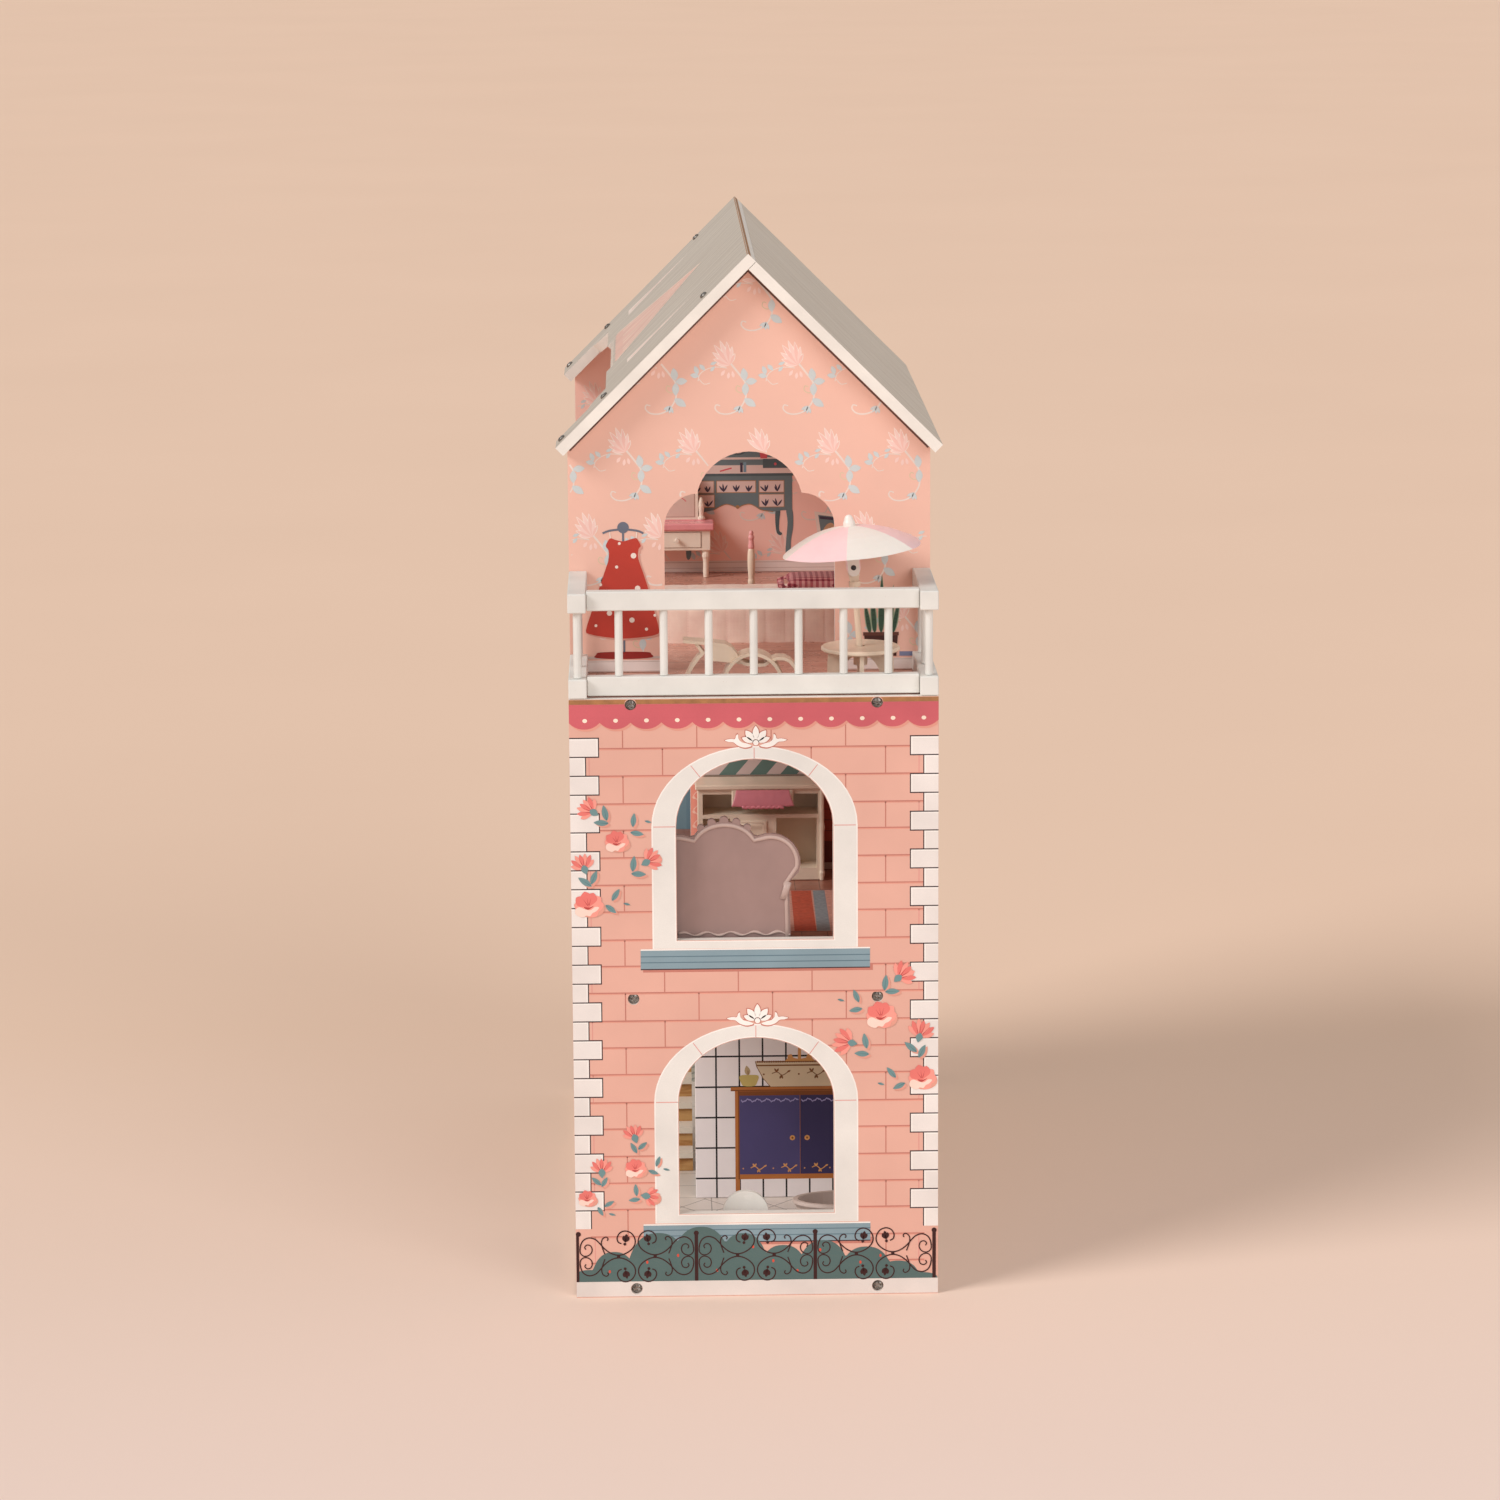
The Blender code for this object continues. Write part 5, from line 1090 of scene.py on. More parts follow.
# a picture frame on its easel at the right
pr.poly([A(1350, 612), A(1560, 644), A(1600, 900), A(1386, 870)], D["frame"], 6)
pr.poly([A(1382, 642), A(1535, 662), A(1568, 860), A(1412, 838)], D["desk"], 7)
pr.poly([A(1392, 652), A(1530, 668), A(1533, 690), A(1396, 676)], D["leafd"], 8)
pr.poly(smooth([A(1412, 800), A(1450, 730), A(1500, 712), A(1550, 780), A(1555, 840), A(1430, 830)], 3, True), D["tan"], 8)
for q in ((1372, 1105, 1400, 620), (1560, 1105, 1540, 640)):
    pr.line([A(q[2], q[3] + 240), A(q[0], q[1] - 84)], 1.5, D["frame"], 5)
pr.end()

# ---------------------------------------------------------------- first floor partition and rug
F = {
    "awn": ink("awning_green", (108, 138, 132)),
    "awn2": ink("awning_white", (226, 206, 202)),
    "pil": ink("pilaster_pink", (238, 158, 142)),
    "pil2": ink("pilaster_pale", (250, 204, 190)),
    "brk": ink("brick_red", (150, 62, 44)),
    "brk2": ink("brick_dark", (104, 44, 34)),
    "taupe_and_shade": ink("shop_taupe_and_shade", (170, 148, 134)),
}


def C(cx, cy):
    return (-63.4 + 0.104 * cx, 339.2 - 0.1078 * cy)


pr = Print("shop_print", (0, 408, 0), (1, 0, 0), (0, 0, 1), (0, -1, 0))
# painted shade: the taupe strip under the awning stands for the shade between the awning and the hutch's top
pr.poly([C(300, 268), C(1250, 268), C(1250, 236), C(300, 236)], F["taupe_and_shade"], 1)
pr.poly([(-31.5, 313.9), (60.0, 313.9), (66.0, 345.0), (-26.0, 345.0)], F["awn"], 2)
for x0 in (-31.0, -6.0, 19.0):
    pr.poly([(x0, 314.2), (x0 + 11.5, 314.2), (x0 + 38.0, 344.9), (x0 + 26.5, 344.9)], F["awn2"], 3)
pr.poly([(44.0, 314.2), (55.0, 314.2), (61.0, 320.4), (63.6, 334.1)], F["awn2"], 3)
pr.poly([(-42.8, 233.6), (-33.2, 233.6), (-33.2, 345.0), (-42.8, 345.0)], F["pil"], 1)
for j in range(9):
    z = 240 + 12 * j
    pr.line(smooth([(-38, z), (-35.6, z + 3), (-38, z + 6), (-40.4, z + 9), (-38, z + 12)], 3), 0.8, F["pil2"], 2)
    pr.poly(petal(-38, z + 6, 30, 4.2, 2.0), F["pil2"], 3)
    pr.poly(petal(-38, z + 6, 150, 4.2, 2.0), F["pil2"], 4)
pr.poly([(64.5, 233.6), (126.2, 233.6), (126.2, 345.0), (64.5, 345.0)], F["brk2"], 1)
for r in range(10):
    z0 = 258 + 9.0 * r
    for c in range(4):
        x0 = 65.0 + 17.5 * c - (8.5 if r % 2 else 0)
        a, b_ = max(64.7, x0), min(126.0, x0 + 16.8)
        if b_ - a > 1:
            pr.rect(a, z0, b_, z0 + 8.2, F["brk"], 2)
pr.rect(64.7, 234.2, 126.0, 240.0, F["taupe_and_shade"], 2)
pr.end()

R = {
    "red": ink("rug_red", (190, 88, 64), 0.08, 0.75, 300),
    "blue": ink("rug_blue", (140, 148, 152), 0.08, 0.75, 300),
    "sand": ink("rug_sand", (206, 152, 136), 0.08, 0.75, 300),
    "edge": ink("rug_edge", (120, 92, 88), 0.08, 0.75, 300),
}
pr = Print("rug_print", (0, 0, 233), (1, 0, 0), (0, 1, 0), (0, 0, 1), slot="floor_print")
pr.rect(-62, 192, 96, 338, R["edge"], 0)
pr.rect(-60.5, 193.5, 94.5, 336.5, R["sand"], 1)
for k, x0 in enumerate((-58, -30, -2, 28, 41, 70)):
    pass
for x0, x1, mt in ((-58.0, -44.0, "red"), (-40.0, -32.0, "blue"), (-28.0, -14.0, "red"), (-10.0, -2.0, "blue"), (2.0, 16.0, "red"), (20.0, 30.0, "blue"), (36.0, 52.0, "red"), (53.5, 63.0, "blue"), (72.0, 86.0, "red")):
    pr.poly([(x0 - 1.0, 194.5), (x1, 194.5), (x1 + 0.6, 335.5), (x0 + 0.6, 335.5)], R[mt], 2)
pr.end()

# ---------------------------------------------------------------- ground floor partition: wash stand
G = {
    "oak": ink("stand_oak", (186, 114, 58)),
    "oak2": ink("stand_oak_dark", (132, 74, 34)),
    "indigo": ink("stand_indigo", (78, 71, 118)),
    "indigo2": ink("stand_indigo_dark", (58, 51, 92)),
    "lav": ink("stand_lavender", (170, 160, 206)),
    "gold": ink("stand_gold", (222, 160, 96)),
    "basin": ink("basin_cream", (224, 202, 170)),
    "basin2": ink("basin_brown", (134, 86, 52)),
    "must": ink("bowl_mustard", (206, 184, 112)),
    "flame": ink("bowl_leaf", (196, 170, 130)),
}


def B(cx, cy):
    return (-66.36 + 0.095 * cx, 147.9 - 0.1 * cy)


def box_print(pr, x0, y0, x1, y1, m, layer):
    a, c = B(x0, y1), B(x1, y0)
    pr.rect(a[0], a[1], c[0], c[1], m, layer)


def sprig(pr, cx, cy, m, layer, k=1.0):
    c = B(cx, cy)
    pr.line(smooth([(c[0] - 5.6 * k, c[1]), (c[0] - 2 * k, c[1] + 1.2), (c[0] + 1.5 * k, c[1] - 1.4), (c[0] + 5.4 * k, c[1] + 1.2)], 4), 0.7, m, layer)
    for u, v, ang in ((-2.4, 1.0, 62), (-2.4, 1.0, 118), (0.8, -1.0, 250), (0.8, -1.0, 292), (4.6, 0.8, 28)):
        pr.poly(petal(c[0] + u * k, c[1] + v * k, ang, 3.0 * k, 1.3 * k, 1.1), m, layer + 0.4 + 0.01 * (ang % 7))


pr = Print("washstand_print", (0, 222, 0), (1, 0, 0), (0, 0, 1), (0, -1, 0), slot="tile_print")
right_end = 1960
box_print(pr, 575, 500, right_end, 1222, G["oak"], 1)
box_print(pr, 576, 1222, 612, 1320, G["oak"], 1)
box_print(pr, right_end - 37, 1222, right_end, 1320, G["oak"], 1)
box_print(pr, 600, 500, 612, 1222, G["oak2"], 2)
box_print(pr, 540, 470, right_end + 36, 502, G["oak"], 2)
box_print(pr, 540, 492, right_end + 36, 502, G["oak2"], 3)
box_print(pr, 612, 505, right_end - 37, 540, G["oak2"], 2)
box_print(pr, 612, 540, 1112, 1182, G["indigo"], 3)
box_print(pr, 1116, 540, 1540, 1182, G["indigo2"], 3)
box_print(pr, 1544, 540, right_end - 37, 1182, G["indigo"], 3)
box_print(pr, 1544, 540, right_end - 37, 860, G["indigo2"], 4)
for x0, x1 in ((625, 1100), (1126, 1530), (1556, right_end - 48)):
    pts = []
    n = int((x1 - x0) / 13)
    for j in range(n + 1):
        pts.append(B(x0 + (x1 - x0) * j / n, 578 + 10 * math.sin(j * 1.05)))
    pr.line(smooth(pts, 2), 0.6, G["lav"], 5)
    pr.line(smooth([(u, v - 0.9 if j % 2 else v + 0.7) for j, (u, v) in enumerate(pts)], 2), 0.4, G["lav"], 5.5)
for x in (1050, 1172, 1600):
    pr.disc(*B(x, 887), 2.1, G["gold"], 5, 16)
    pr.disc(*B(x, 887), 0.9, G["oak2"], 6, 10)
for x in (760, 1015, 1270, 1450, 1700, 1850):
    sprig(pr, x, 1130, G["gold"], 5)
for x in (640, 890, 1150, 1360, 1580, 1780):
    pr.disc(*B(x, 1135), 0.6, G["gold"], 5, 8)
basin = [B(750, 262), B(1560, 262), B(1552, 305), B(1500, 400), B(1440, 468), B(872, 468), B(812, 400), B(760, 305)]
pr.poly([(u + (0.7 if u > 30 else -0.7), v + 0.1) for u, v in basin], G["basin2"], 4)
pr.poly(basin, G["basin"], 5)
pr.poly([B(755, 290), B(1556, 290), B(1554, 302), B(758, 302)], G["basin2"], 6)
x = 756
while x < 1550:
    c = B(x + 9, 266)
    pr.disc(c[0], c[1], 1.0, G["basin2"], 6, 10, 0.8)
    x += 19
for x in (950, 1240):
    sprig(pr, x, 362, G["basin2"], 6, 1.15)
for x in (815, 1105, 1400):
    pr.disc(*B(x, 368), 0.8, G["basin2"], 6, 8)
pr.poly([B(990, 262), B(1012, 240), B(1015, 212), B(1045, 206), B(1060, 236), B(1098, 244), B(1100, 100), B(1098, 60), B(1130, 40), B(1200, 40), B(1200, 60), B(1140, 66), B(1124, 84), B(1124, 244), B(1165, 236), B(1180, 206), B(1210, 212), B(1216, 240), B(1240, 262)], G["gold"], 7)
pr.poly(smooth([B(616, 378), B(690, 372), B(770, 378), B(760, 430), B(735, 462), B(650, 462), B(624, 430)], 3, True), G["must"], 4)
pr.poly(petal(*B(686, 374), 100, 8.0, 4.4, 0.8), G["flame"], 3.4)
pr.line([B(686, 366), B(684, 336)], 0.6, G["basin2"], 4.6)
pr.end()

# pale floor with thin lozenge lines
T = {"line": ink("floor_line", (122, 112, 106)), "dot": ink("floor_lozenge", (60, 52, 52))}
pr = Print("ground_floor_print", (0, 0, 10.5), (1, 0, 0), (0, 1, 0), (0, 0, 1), slot="floor_print")
pr.keep = lambda x, y: -134.4 < x < 126.4 and 8.6 < y < 221.4
for k in range(-14, 15):
    x0 = k * 36.0
    seg = [(x0 + 0.85 * (y - 8), y) for y in [8.8 + 4.0 * j for j in range(54)]]
    pr.line(seg, 0.55, T["line"], 0)
    pr.line([(-x - 0.0, y) for x, y in seg], 0.55, T["line"], 1)
pr.end()

# ---------------------------------------------------------------- roof print
S = {
    "pink": ink("roof_pink", (228, 184, 168)),
    "pink2": ink("roof_ray", (240, 214, 196)),
    "spire": ink("roof_spire", (238, 220, 208)),
    "edge": ink("roof_raw_edge", (172, 128, 92), 0.10, 0.7, 120),
    "shingle": ink("roof_seam", (166, 154, 142)),
}
k = math.sqrt(0.5)
slope = math.atan2(768.6 - 625.9, 143.6)
ux, uz = math.cos(slope), math.sin(slope)
pr = Print("roof_left_print", (0, 0, 768.6), (0, 1, 0), (-ux, 0, -uz), (-uz, 0, ux), slot="roof_print")
pr.poly([(357, 47), (447, 139), (440, 141.2), (432, 139.5), (424, 141.5), (415, 139.5), (406, 141.5), (397, 139.5), (388, 141.5), (378, 139.5), (368, 141.5), (358, 139.5), (348, 141.5), (339, 139.5), (330, 141.5), (321, 139.5), (312, 141.5), (303, 139.5), (294, 141.5), (284, 139.5), (274, 141.2), (266, 139)], S["pink"], 1)
for j in range(-4, 5):
    if j in (-2, 1, 3):
        continue
    pr.poly([(357, 62), (357 + j * 18 + 2.4, 132), (357 + j * 18 - 2.4, 132)], S["pink2"], 2)
pr.poly([(262, 138.5), (266, 134.0), (357, 44.0), (448, 134.0), (452, 138.5), (447, 138.8), (357, 48.6), (267, 138.8)], S["pink2"], 3)
for yc, w, s0, s1 in ((191, 11.5, 56, 127), (523, 16, 56, 126)):
    pr.poly([(yc, s0), (yc + w * 0.45, s0 + 34), (yc + w * 0.34, s0 + 36), (yc + w * 0.75, s1 - 20), (yc + w, s1), (yc - w, s1), (yc - w * 0.75, s1 - 20), (yc - w * 0.34, s0 + 36), (yc - w * 0.45, s0 + 34)], S["spire"], 1)
    pr.poly([(yc, s0 + 12), (yc + w * 0.16, s1 - 4), (yc - w * 0.16, s1 - 4)], S["pink"], 2)
pr.poly([(95.0, 0.35), (599.2, 0.35), (599.2, 1.1), (95.0, 1.1)], S["edge"], 1)
pr.end()
edge = Print("roof_ridge_edge", (0, 0, 768.6), (0, 1, 0), (0.7071, 0, -0.7071), (0.7071, 0, 0.7071), slot="roof_print")
edge.poly([(94.2, 0.25), (599.4, 0.25), (599.4, 3.1), (94.2, 3.1)], S["edge"], 0)
edge.end()

# ---------------------------------------------------------------- screws: domed heads with a cross recess
STEEL = Nodes("screw_steel_skin")
brushed = STEEL.noise(900, 3, co=STEEL.place((1, 6, 1)))
STEEL.bump(brushed, 0.2, 0.0001)
grime = STEEL.map(STEEL.noise(500, 3), 0.45, 0.7, 0, 1)
STEEL_M = STEEL.done(STEEL.mix(grime, lin((158, 153, 148)), lin((76, 69, 64))), STEEL.map(STEEL.noise(600, 2), 0.3, 0.7, 0.22, 0.42), metal=1.0)
DARKHOLE = ink("screw_recess_dark", (54, 40, 34), 0.1, 0.7)


def screw_head(name, centre, axis, r, dome, node):
    """centre: middle of the head's underside; axis: outwards."""
    bm = bmesh.new()
    seg, rings = 32, 7
    w = r * 0.17
    L = r * 0.66

    def height(x, y):
        rr = math.hypot(x, y) / r
        h = dome * math.sqrt(max(0.0, 1 - (rr * 0.93) ** 2))
        inx, iny = max(abs(x) - L, abs(y) - w), max(abs(y) - L, abs(x) - w)
        d = min(inx, iny)
        if d < 0.10:
            h -= dome * 0.62 * min(1.0, (0.10 - d) / 0.22)
        return max(h, 0.12)

    N = 30
    grid = {}
    for i in range(N + 1):
        for j in range(N + 1):
            u, v = -1 + 2 * i / N, -1 + 2 * j / N
            x = r * u * math.sqrt(max(0.0, 1 - v * v / 2))
            y = r * v * math.sqrt(max(0.0, 1 - u * u / 2))
            grid[i, j] = (bm.verts.new((x, y, height(x, y))), bm.verts.new((x, y, 0.0)))
    for i in range(N):
        for j in range(N):
            a, b_, c, d = grid[i, j], grid[i + 1, j], grid[i + 1, j + 1], grid[i, j + 1]
            bm.faces.new((a[0], b_[0], c[0], d[0]))
            bm.faces.new((d[1], c[1], b_[1], a[1]))
    rim = [(i, 0) for i in range(N)] + [(N, j) for j in range(N)] + [(i, N) for i in range(N, 0, -1)] + [(0, j) for j in range(N, 0, -1)]
    for p, q in zip(rim, rim[1:] + rim[:1]):
        bm.faces.new((grid[p][1], grid[q][1], grid[q][0], grid[p][0]))
    bmesh.ops.recalc_face_normals(bm, faces=bm.faces)
    z = Vector(axis).normalized()
    x = z.orthogonal().normalized()
    tilt = random.uniform(0.2, 1.2)
    M3 = Matrix((x, z.cross(x), z)).transposed().to_4x4() @ Matrix.Rotation(tilt, 4, "Z")
    me = bpy.data.meshes.new(name)
    for v in bm.verts:
        p = M3 @ v.co
        v.co = P(*(Vector(centre) + p))
    bm.to_mesh(me)
    bm.free()
    me.polygons.foreach_set("use_smooth", [True] * len(me.polygons))
    me.materials.append(STEEL_M)
    ob = bpy.data.objects.new(name, me)
    scene.collection.objects.link(ob)
    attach(ob, "house")
    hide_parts(node)
    return ob


for n in sorted(nodes):
    if n.startswith("wall_screw_"):
        lo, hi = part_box(n)
        c = (Vector(lo) + Vector(hi)) / 2 * 1000
        screw_head("head_" + n, (c.x, 2.9, c.z), (0, -1, 0), 3.85, 1.55, n)
i = 0
for yc in (112.5, 581.0):
    for s in (46.0, 151.0, 196.0):
        i += 1
        foot = Vector((-ux * s, yc, 768.6 - uz * s)) + Vector((-uz, 0, ux)) * 0.06
        screw_head(f"head_roof_screw_{i}", tuple(foot), (-uz, 0, ux), 3.1, 2.2, f"roof_screw_{i}")


# ---------------------------------------------------------------- mesh helpers for the solid and soft pieces
def add(name, bm, mat, body, slot, shade_smooth=True, mats=None):
    me = bpy.data.meshes.new(name)
    bm.to_mesh(me)
    bm.free()
    for mm in mats or [mat]:
        me.materials.append(mm)
    me.polygons.foreach_set("use_smooth", [shade_smooth] * len(me.polygons))
    ob = bpy.data.objects.new(name, me)
    scene.collection.objects.link(ob)
    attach(ob, body)
    return ob


def bake(ob):
    """Applies every modifier."""
    dg = bpy.context.evaluated_depsgraph_get()
    dg.update()
    me = bpy.data.meshes.new_from_object(ob.evaluated_get(dg))
    ob.modifiers.clear()
    ob.data = me
    return ob


def tube(bm, pts, r, seg=8, closed=False, flat=1.0, normal=None):
    """A round (or flattened) bar along the points, as one closed shell."""
    pts = [Vector(p) for p in pts]
    n = len(pts)
    rings = []
    ref = Vector(normal) if normal else None
    for i, p in enumerate(pts):
        if closed:
            d = (pts[(i + 1) % n] - pts[i - 1]).normalized()
        else:
            d = (pts[min(i + 1, n - 1)] - pts[max(i - 1, 0)]).normalized()
        if ref is None:
            ref = d.orthogonal()
        a = (ref - d * ref.dot(d)).normalized()
        c = d.cross(a)
        rr = r(i / max(n - 1, 1)) if callable(r) else r
        rings.append([bm.verts.new(P(*(p + a * (rr * flat * math.cos(t)) + c * (rr * math.sin(t))))) for t in (2 * math.pi * j / seg for j in range(seg))])
        if normal is None:
            ref = a
    for i in range(n if closed else n - 1):
        A_, B_ = rings[i], rings[(i + 1) % n]
        for j in range(seg):
            k2 = (j + 1) % seg
            bm.faces.new((A_[j], A_[k2], B_[k2], B_[j]))
    if not closed:
        bm.faces.new(list(reversed(rings[0])))
        bm.faces.new(rings[-1])
    bmesh.ops.recalc_face_normals(bm, faces=bm.faces)


def sheet_mesh(name, fn, nu, nv, thick, mat, body, slot, mats=None, pick=None):
    """A closed thin sheet: fn(u, v) gives a point in house mm, u and v from 0 to 1."""
    bm = bmesh.new()
    pts = [[Vector(fn(i / nu, j / nv)) for j in range(nv + 1)] for i in range(nu + 1)]
    top, bot = [], []
    for i in range(nu + 1):
        tr, br = [], []
        for j in range(nv + 1):
            du = pts[min(i + 1, nu)][j] - pts[max(i - 1, 0)][j]
            dv = pts[i][min(j + 1, nv)] - pts[i][max(j - 1, 0)]
            nn = du.cross(dv)
            nn = nn.normalized() if nn.length > 1e-9 else Vector((0, 0, 1))
            th = thick(i / nu, j / nv) if callable(thick) else thick
            tr.append(bm.verts.new(P(*(pts[i][j] + nn * th / 2))))
            br.append(bm.verts.new(P(*(pts[i][j] - nn * th / 2))))
        top.append(tr)
        bot.append(br)
    for i in range(nu):
        for j in range(nv):
            bm.faces.new((top[i][j], top[i + 1][j], top[i + 1][j + 1], top[i][j + 1]))
            bm.faces.new((bot[i][j + 1], bot[i + 1][j + 1], bot[i + 1][j], bot[i][j]))
    for i in range(nu):
        bm.faces.new((top[i + 1][0], top[i][0], bot[i][0], bot[i + 1][0]))
        bm.faces.new((top[i][nv], top[i + 1][nv], bot[i + 1][nv], bot[i][nv]))
    for j in range(nv):
        bm.faces.new((top[0][j], top[0][j + 1], bot[0][j + 1], bot[0][j]))
        bm.faces.new((top[nu][j + 1], top[nu][j], bot[nu][j], bot[nu][j + 1]))
    bmesh.ops.recalc_face_normals(bm, faces=bm.faces)
    return add(name, bm, mat, body, slot, mats=mats)


def cloth_weave(name, rgb, rough=0.85, weave=1500.0, sheen=0.35, var=0.05, extra=None, tint=(1.0, 0.9, 0.88, 1.0)):
    """Plain-weave cotton: crossing threads, soft creases and slubs."""
    n = Nodes(name)
    a = n.map(n.noise(60, 4), 0.3, 0.7, 0, 1)
    col = n.mix(a, lin(shade(rgb, 1 - var)), lin(shade(rgb, 1 + var)))
    wx = n.wave(weave / 6, co=n.co, distortion=0.15, detail=1, axis="X")
    wy = n.wave(weave / 6, co=n.co, distortion=0.15, detail=1, axis="Y")
    wz = n.wave(weave / 6, co=n.co, distortion=0.15, detail=1, axis="Z")
    threads = n.math("MULTIPLY", n.math("ADD", n.math("ADD", wx, wy), wz), 0.33)
    col = n.mix(n.math("MULTIPLY", threads, 0.16), col, lin(shade(rgb, 0.80)))
    if extra:
        col = extra(n, col)
    n.bump(n.math("ADD", threads, n.math("MULTIPLY", n.noise(150, 3), 0.8)), 0.35, 0.00025)
    return n.done(col, n.map(n.noise(40, 2), 0.3, 0.7, rough - 0.06, rough + 0.06), sheen=sheen, spec=0.22, sheen_tint=tint)


def inflate(ob, voxel, pressure, cap, quick_by=0.0):
    """Voxel remesh, then a short pressure cloth run with no gravity; the travel of each point is capped."""
    mod = ob.modifiers.new("re", "REMESH")
    mod.mode, mod.voxel_size = "VOXEL", voxel
    bake(ob)
    start = [v.co.copy() for v in ob.data.vertices]
    cl = ob.modifiers.new("cloth", "CLOTH")
    cl.settings.quality = 4
    cl.settings.mass = 0.15
    cl.settings.tension_stiffness = 12
    cl.settings.compression_stiffness = 12
    cl.settings.shear_stiffness = 4
    cl.settings.bending_stiffness = 0.4
    cl.settings.use_pressure = True
    cl.settings.uniform_pressure_force = pressure
    cl.settings.effector_weights.gravity = 0.0
    cl.collision_settings.use_collision = False
    cl.point_cache.frame_start, cl.point_cache.frame_end = 1, 20
    for f in range(1, 21):
        scene.frame_set(f)
        bpy.context.view_layer.update()
    bake(ob)
    for v, c in zip(ob.data.vertices, start):
        d = v.co - c
        if d.length > cap:
            v.co = c + d.normalized() * cap
    scene.frame_set(1)
    return ob


def rounded_slab(name, lo, hi, r, mat, body, slot, dish=0.0, cuts=10):
    """A closed slab with rounded rim whose sides draw in a little between the corners."""
    bm = bmesh.new()
    bmesh.ops.create_cube(bm, size=2.0)
    bmesh.ops.subdivide_edges(bm, edges=bm.edges, cuts=cuts, use_grid_fill=True)
    lo, hi = Vector(lo), Vector(hi)
    c, h = (lo + hi) / 2, (hi - lo) / 2
    for v in bm.verts:
        x, y, z = v.co
        k = 1 - dish * (1 - abs(x) ** 2) * (abs(y) ** 6) 
        k2 = 1 - dish * (1 - abs(y) ** 2) * (abs(x) ** 6)
        edge = max(abs(x), abs(y))
        zz = z * (1 - 0.55 * edge ** 5)
        v.co = Vector((x * k2, y * k, zz))
        v.co = P(*(c + Vector((v.co.x * h.x, v.co.y * h.y, v.co.z * h.z))))
    bmesh.ops.recalc_face_normals(bm, faces=bm.faces)
    return add(name, bm, mat, body, slot)


# ---------------------------------------------------------------- the attic bed: mattress, quilt, gingham pillow
MATT = cloth_weave("mattress_cotton", (238, 224, 214), weave=1900)
mattress = rounded_slab("bed_mattress", (-60, 239.5, 470.6), (102, 330.5, 480.2), 3, MATT, "bed", "quilt_cotton", dish=0.01, cuts=14)
inflate(mattress, 0.0038, 3.0, 0.0011)
sub = mattress.modifiers.new("sub", "SUBSURF")
sub.levels = sub.render_levels = 1

PITCH_Q = 15.2
HALF = 79.0


def quilt_rows(n, col):
    x, y, z = n.xyz()
    u = n.math("FRACT", n.math("ADD", n.math("DIVIDE", x, PITCH_Q / 1000), 20.0))
    d = n.math("ABSOLUTE", n.math("SUBTRACT", u, 0.5))
    seam = n.math("GREATER_THAN", d, 0.5 - 0.028)
    dash = n.math("GREATER_THAN", n.math("SINE", n.math("MULTIPLY", n.math("ADD", y, z), 2 * math.pi / 0.0021)), -0.35)
    # painted shade: each row darkens towards its seams, where the quilting dips
    near = n.map(d, 0.40, 0.5, 0, 1)
    col = n.mix(n.math("MULTIPLY", near, 0.14), col, lin((206, 150, 138)))
    return n.mix(n.math("MULTIPLY", seam, n.math("MULTIPLY", dash, 0.9)), col, lin((250, 222, 208)))


# painted light: the quilt's pink is set lighter than its own colour, to make up for the shade under the roof
QUILT_M = cloth_weave("quilt_pink_cotton", (255, 222, 206), weave=1700, sheen=0.3, extra=quilt_rows)


def quilt_point(u, v):
    x = -69.0 + 168.0 * u
    s = -HALF + 2 * HALF * v
    a = abs(s)
    sg = 1 if s >= 0 else -1
    flat_to, r = 46.6, 4.4
    arc = r * math.pi / 2
    if a < flat_to:
        dy, dz = a, 0.0
    elif a < flat_to + arc:
        t = (a - flat_to) / r
        dy, dz = flat_to + r * math.sin(t), -(r - r * math.cos(t))
    else:
        q = a - flat_to - arc
        fl = q / (HALF - flat_to - arc)
        ripple = math.sin(x / PITCH_Q * 2 * math.pi * 0.5 + (1.1 if sg > 0 else 0.0)) * 0.55 + math.sin(x * 0.21 + 2.0) * 0.4
        dy, dz = flat_to + r + (0.35 + ripple) * fl ** 1.5, -r - q * 0.992 - 0.25 * fl * math.sin(x * 0.33)
    # a soft top: puffed between the seams, a little lower at the foot end
    ph = (x / PITCH_Q) % 1.0
    puff = 0.45 * abs(math.sin(math.pi * ph)) ** 0.55
    crumple = 0.25 * math.sin(x * 0.13 + s * 0.09) + 0.2 * math.sin(s * 0.31 - x * 0.05)
    ctr = Vector((x, 285.0 + sg * dy, 482.9 + dz))
    if a < flat_to + arc:
        t = max(0.0, (a - flat_to) / r)
        nrm = Vector((0, sg * math.sin(t), math.cos(t)))
    else:
        nrm = Vector((0, sg, 0))
    lift = puff + (crumple if a < flat_to else crumple * 0.3)
    end = max(0.0, (7.0 - (x + 69.0)) / 7.0)
    ctr.z -= 4.2 * end * end
    ctr.x += 1.2 * end * end
    return ctr + nrm * lift


quilt = sheet_mesh("bed_quilt_sheet", quilt_point, 176, 124, 1.1, QUILT_M, "bed", "quilt_cotton")
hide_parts("bed_quilt")


def gingham(rgb_dark, rgb_mid, rgb_light, pitch):
    def paint(n, col):
        x, y, z = n.xyz()
        fx = n.math("GREATER_THAN", n.math("FRACT", n.math("ADD", n.math("DIVIDE", x, pitch), 40.0)), 0.5)
        fy = n.math("GREATER_THAN", n.math("FRACT", n.math("ADD", n.math("DIVIDE", y, pitch), 40.0)), 0.5)
        k = n.math("MULTIPLY", n.math("ADD", fx, fy), 0.5)
        lo_ = n.mix(n.math("GREATER_THAN", k, 0.25), lin(rgb_light), lin(rgb_mid))
        return n.mix(n.math("GREATER_THAN", k, 0.75), lo_, lin(rgb_dark))
    return paint


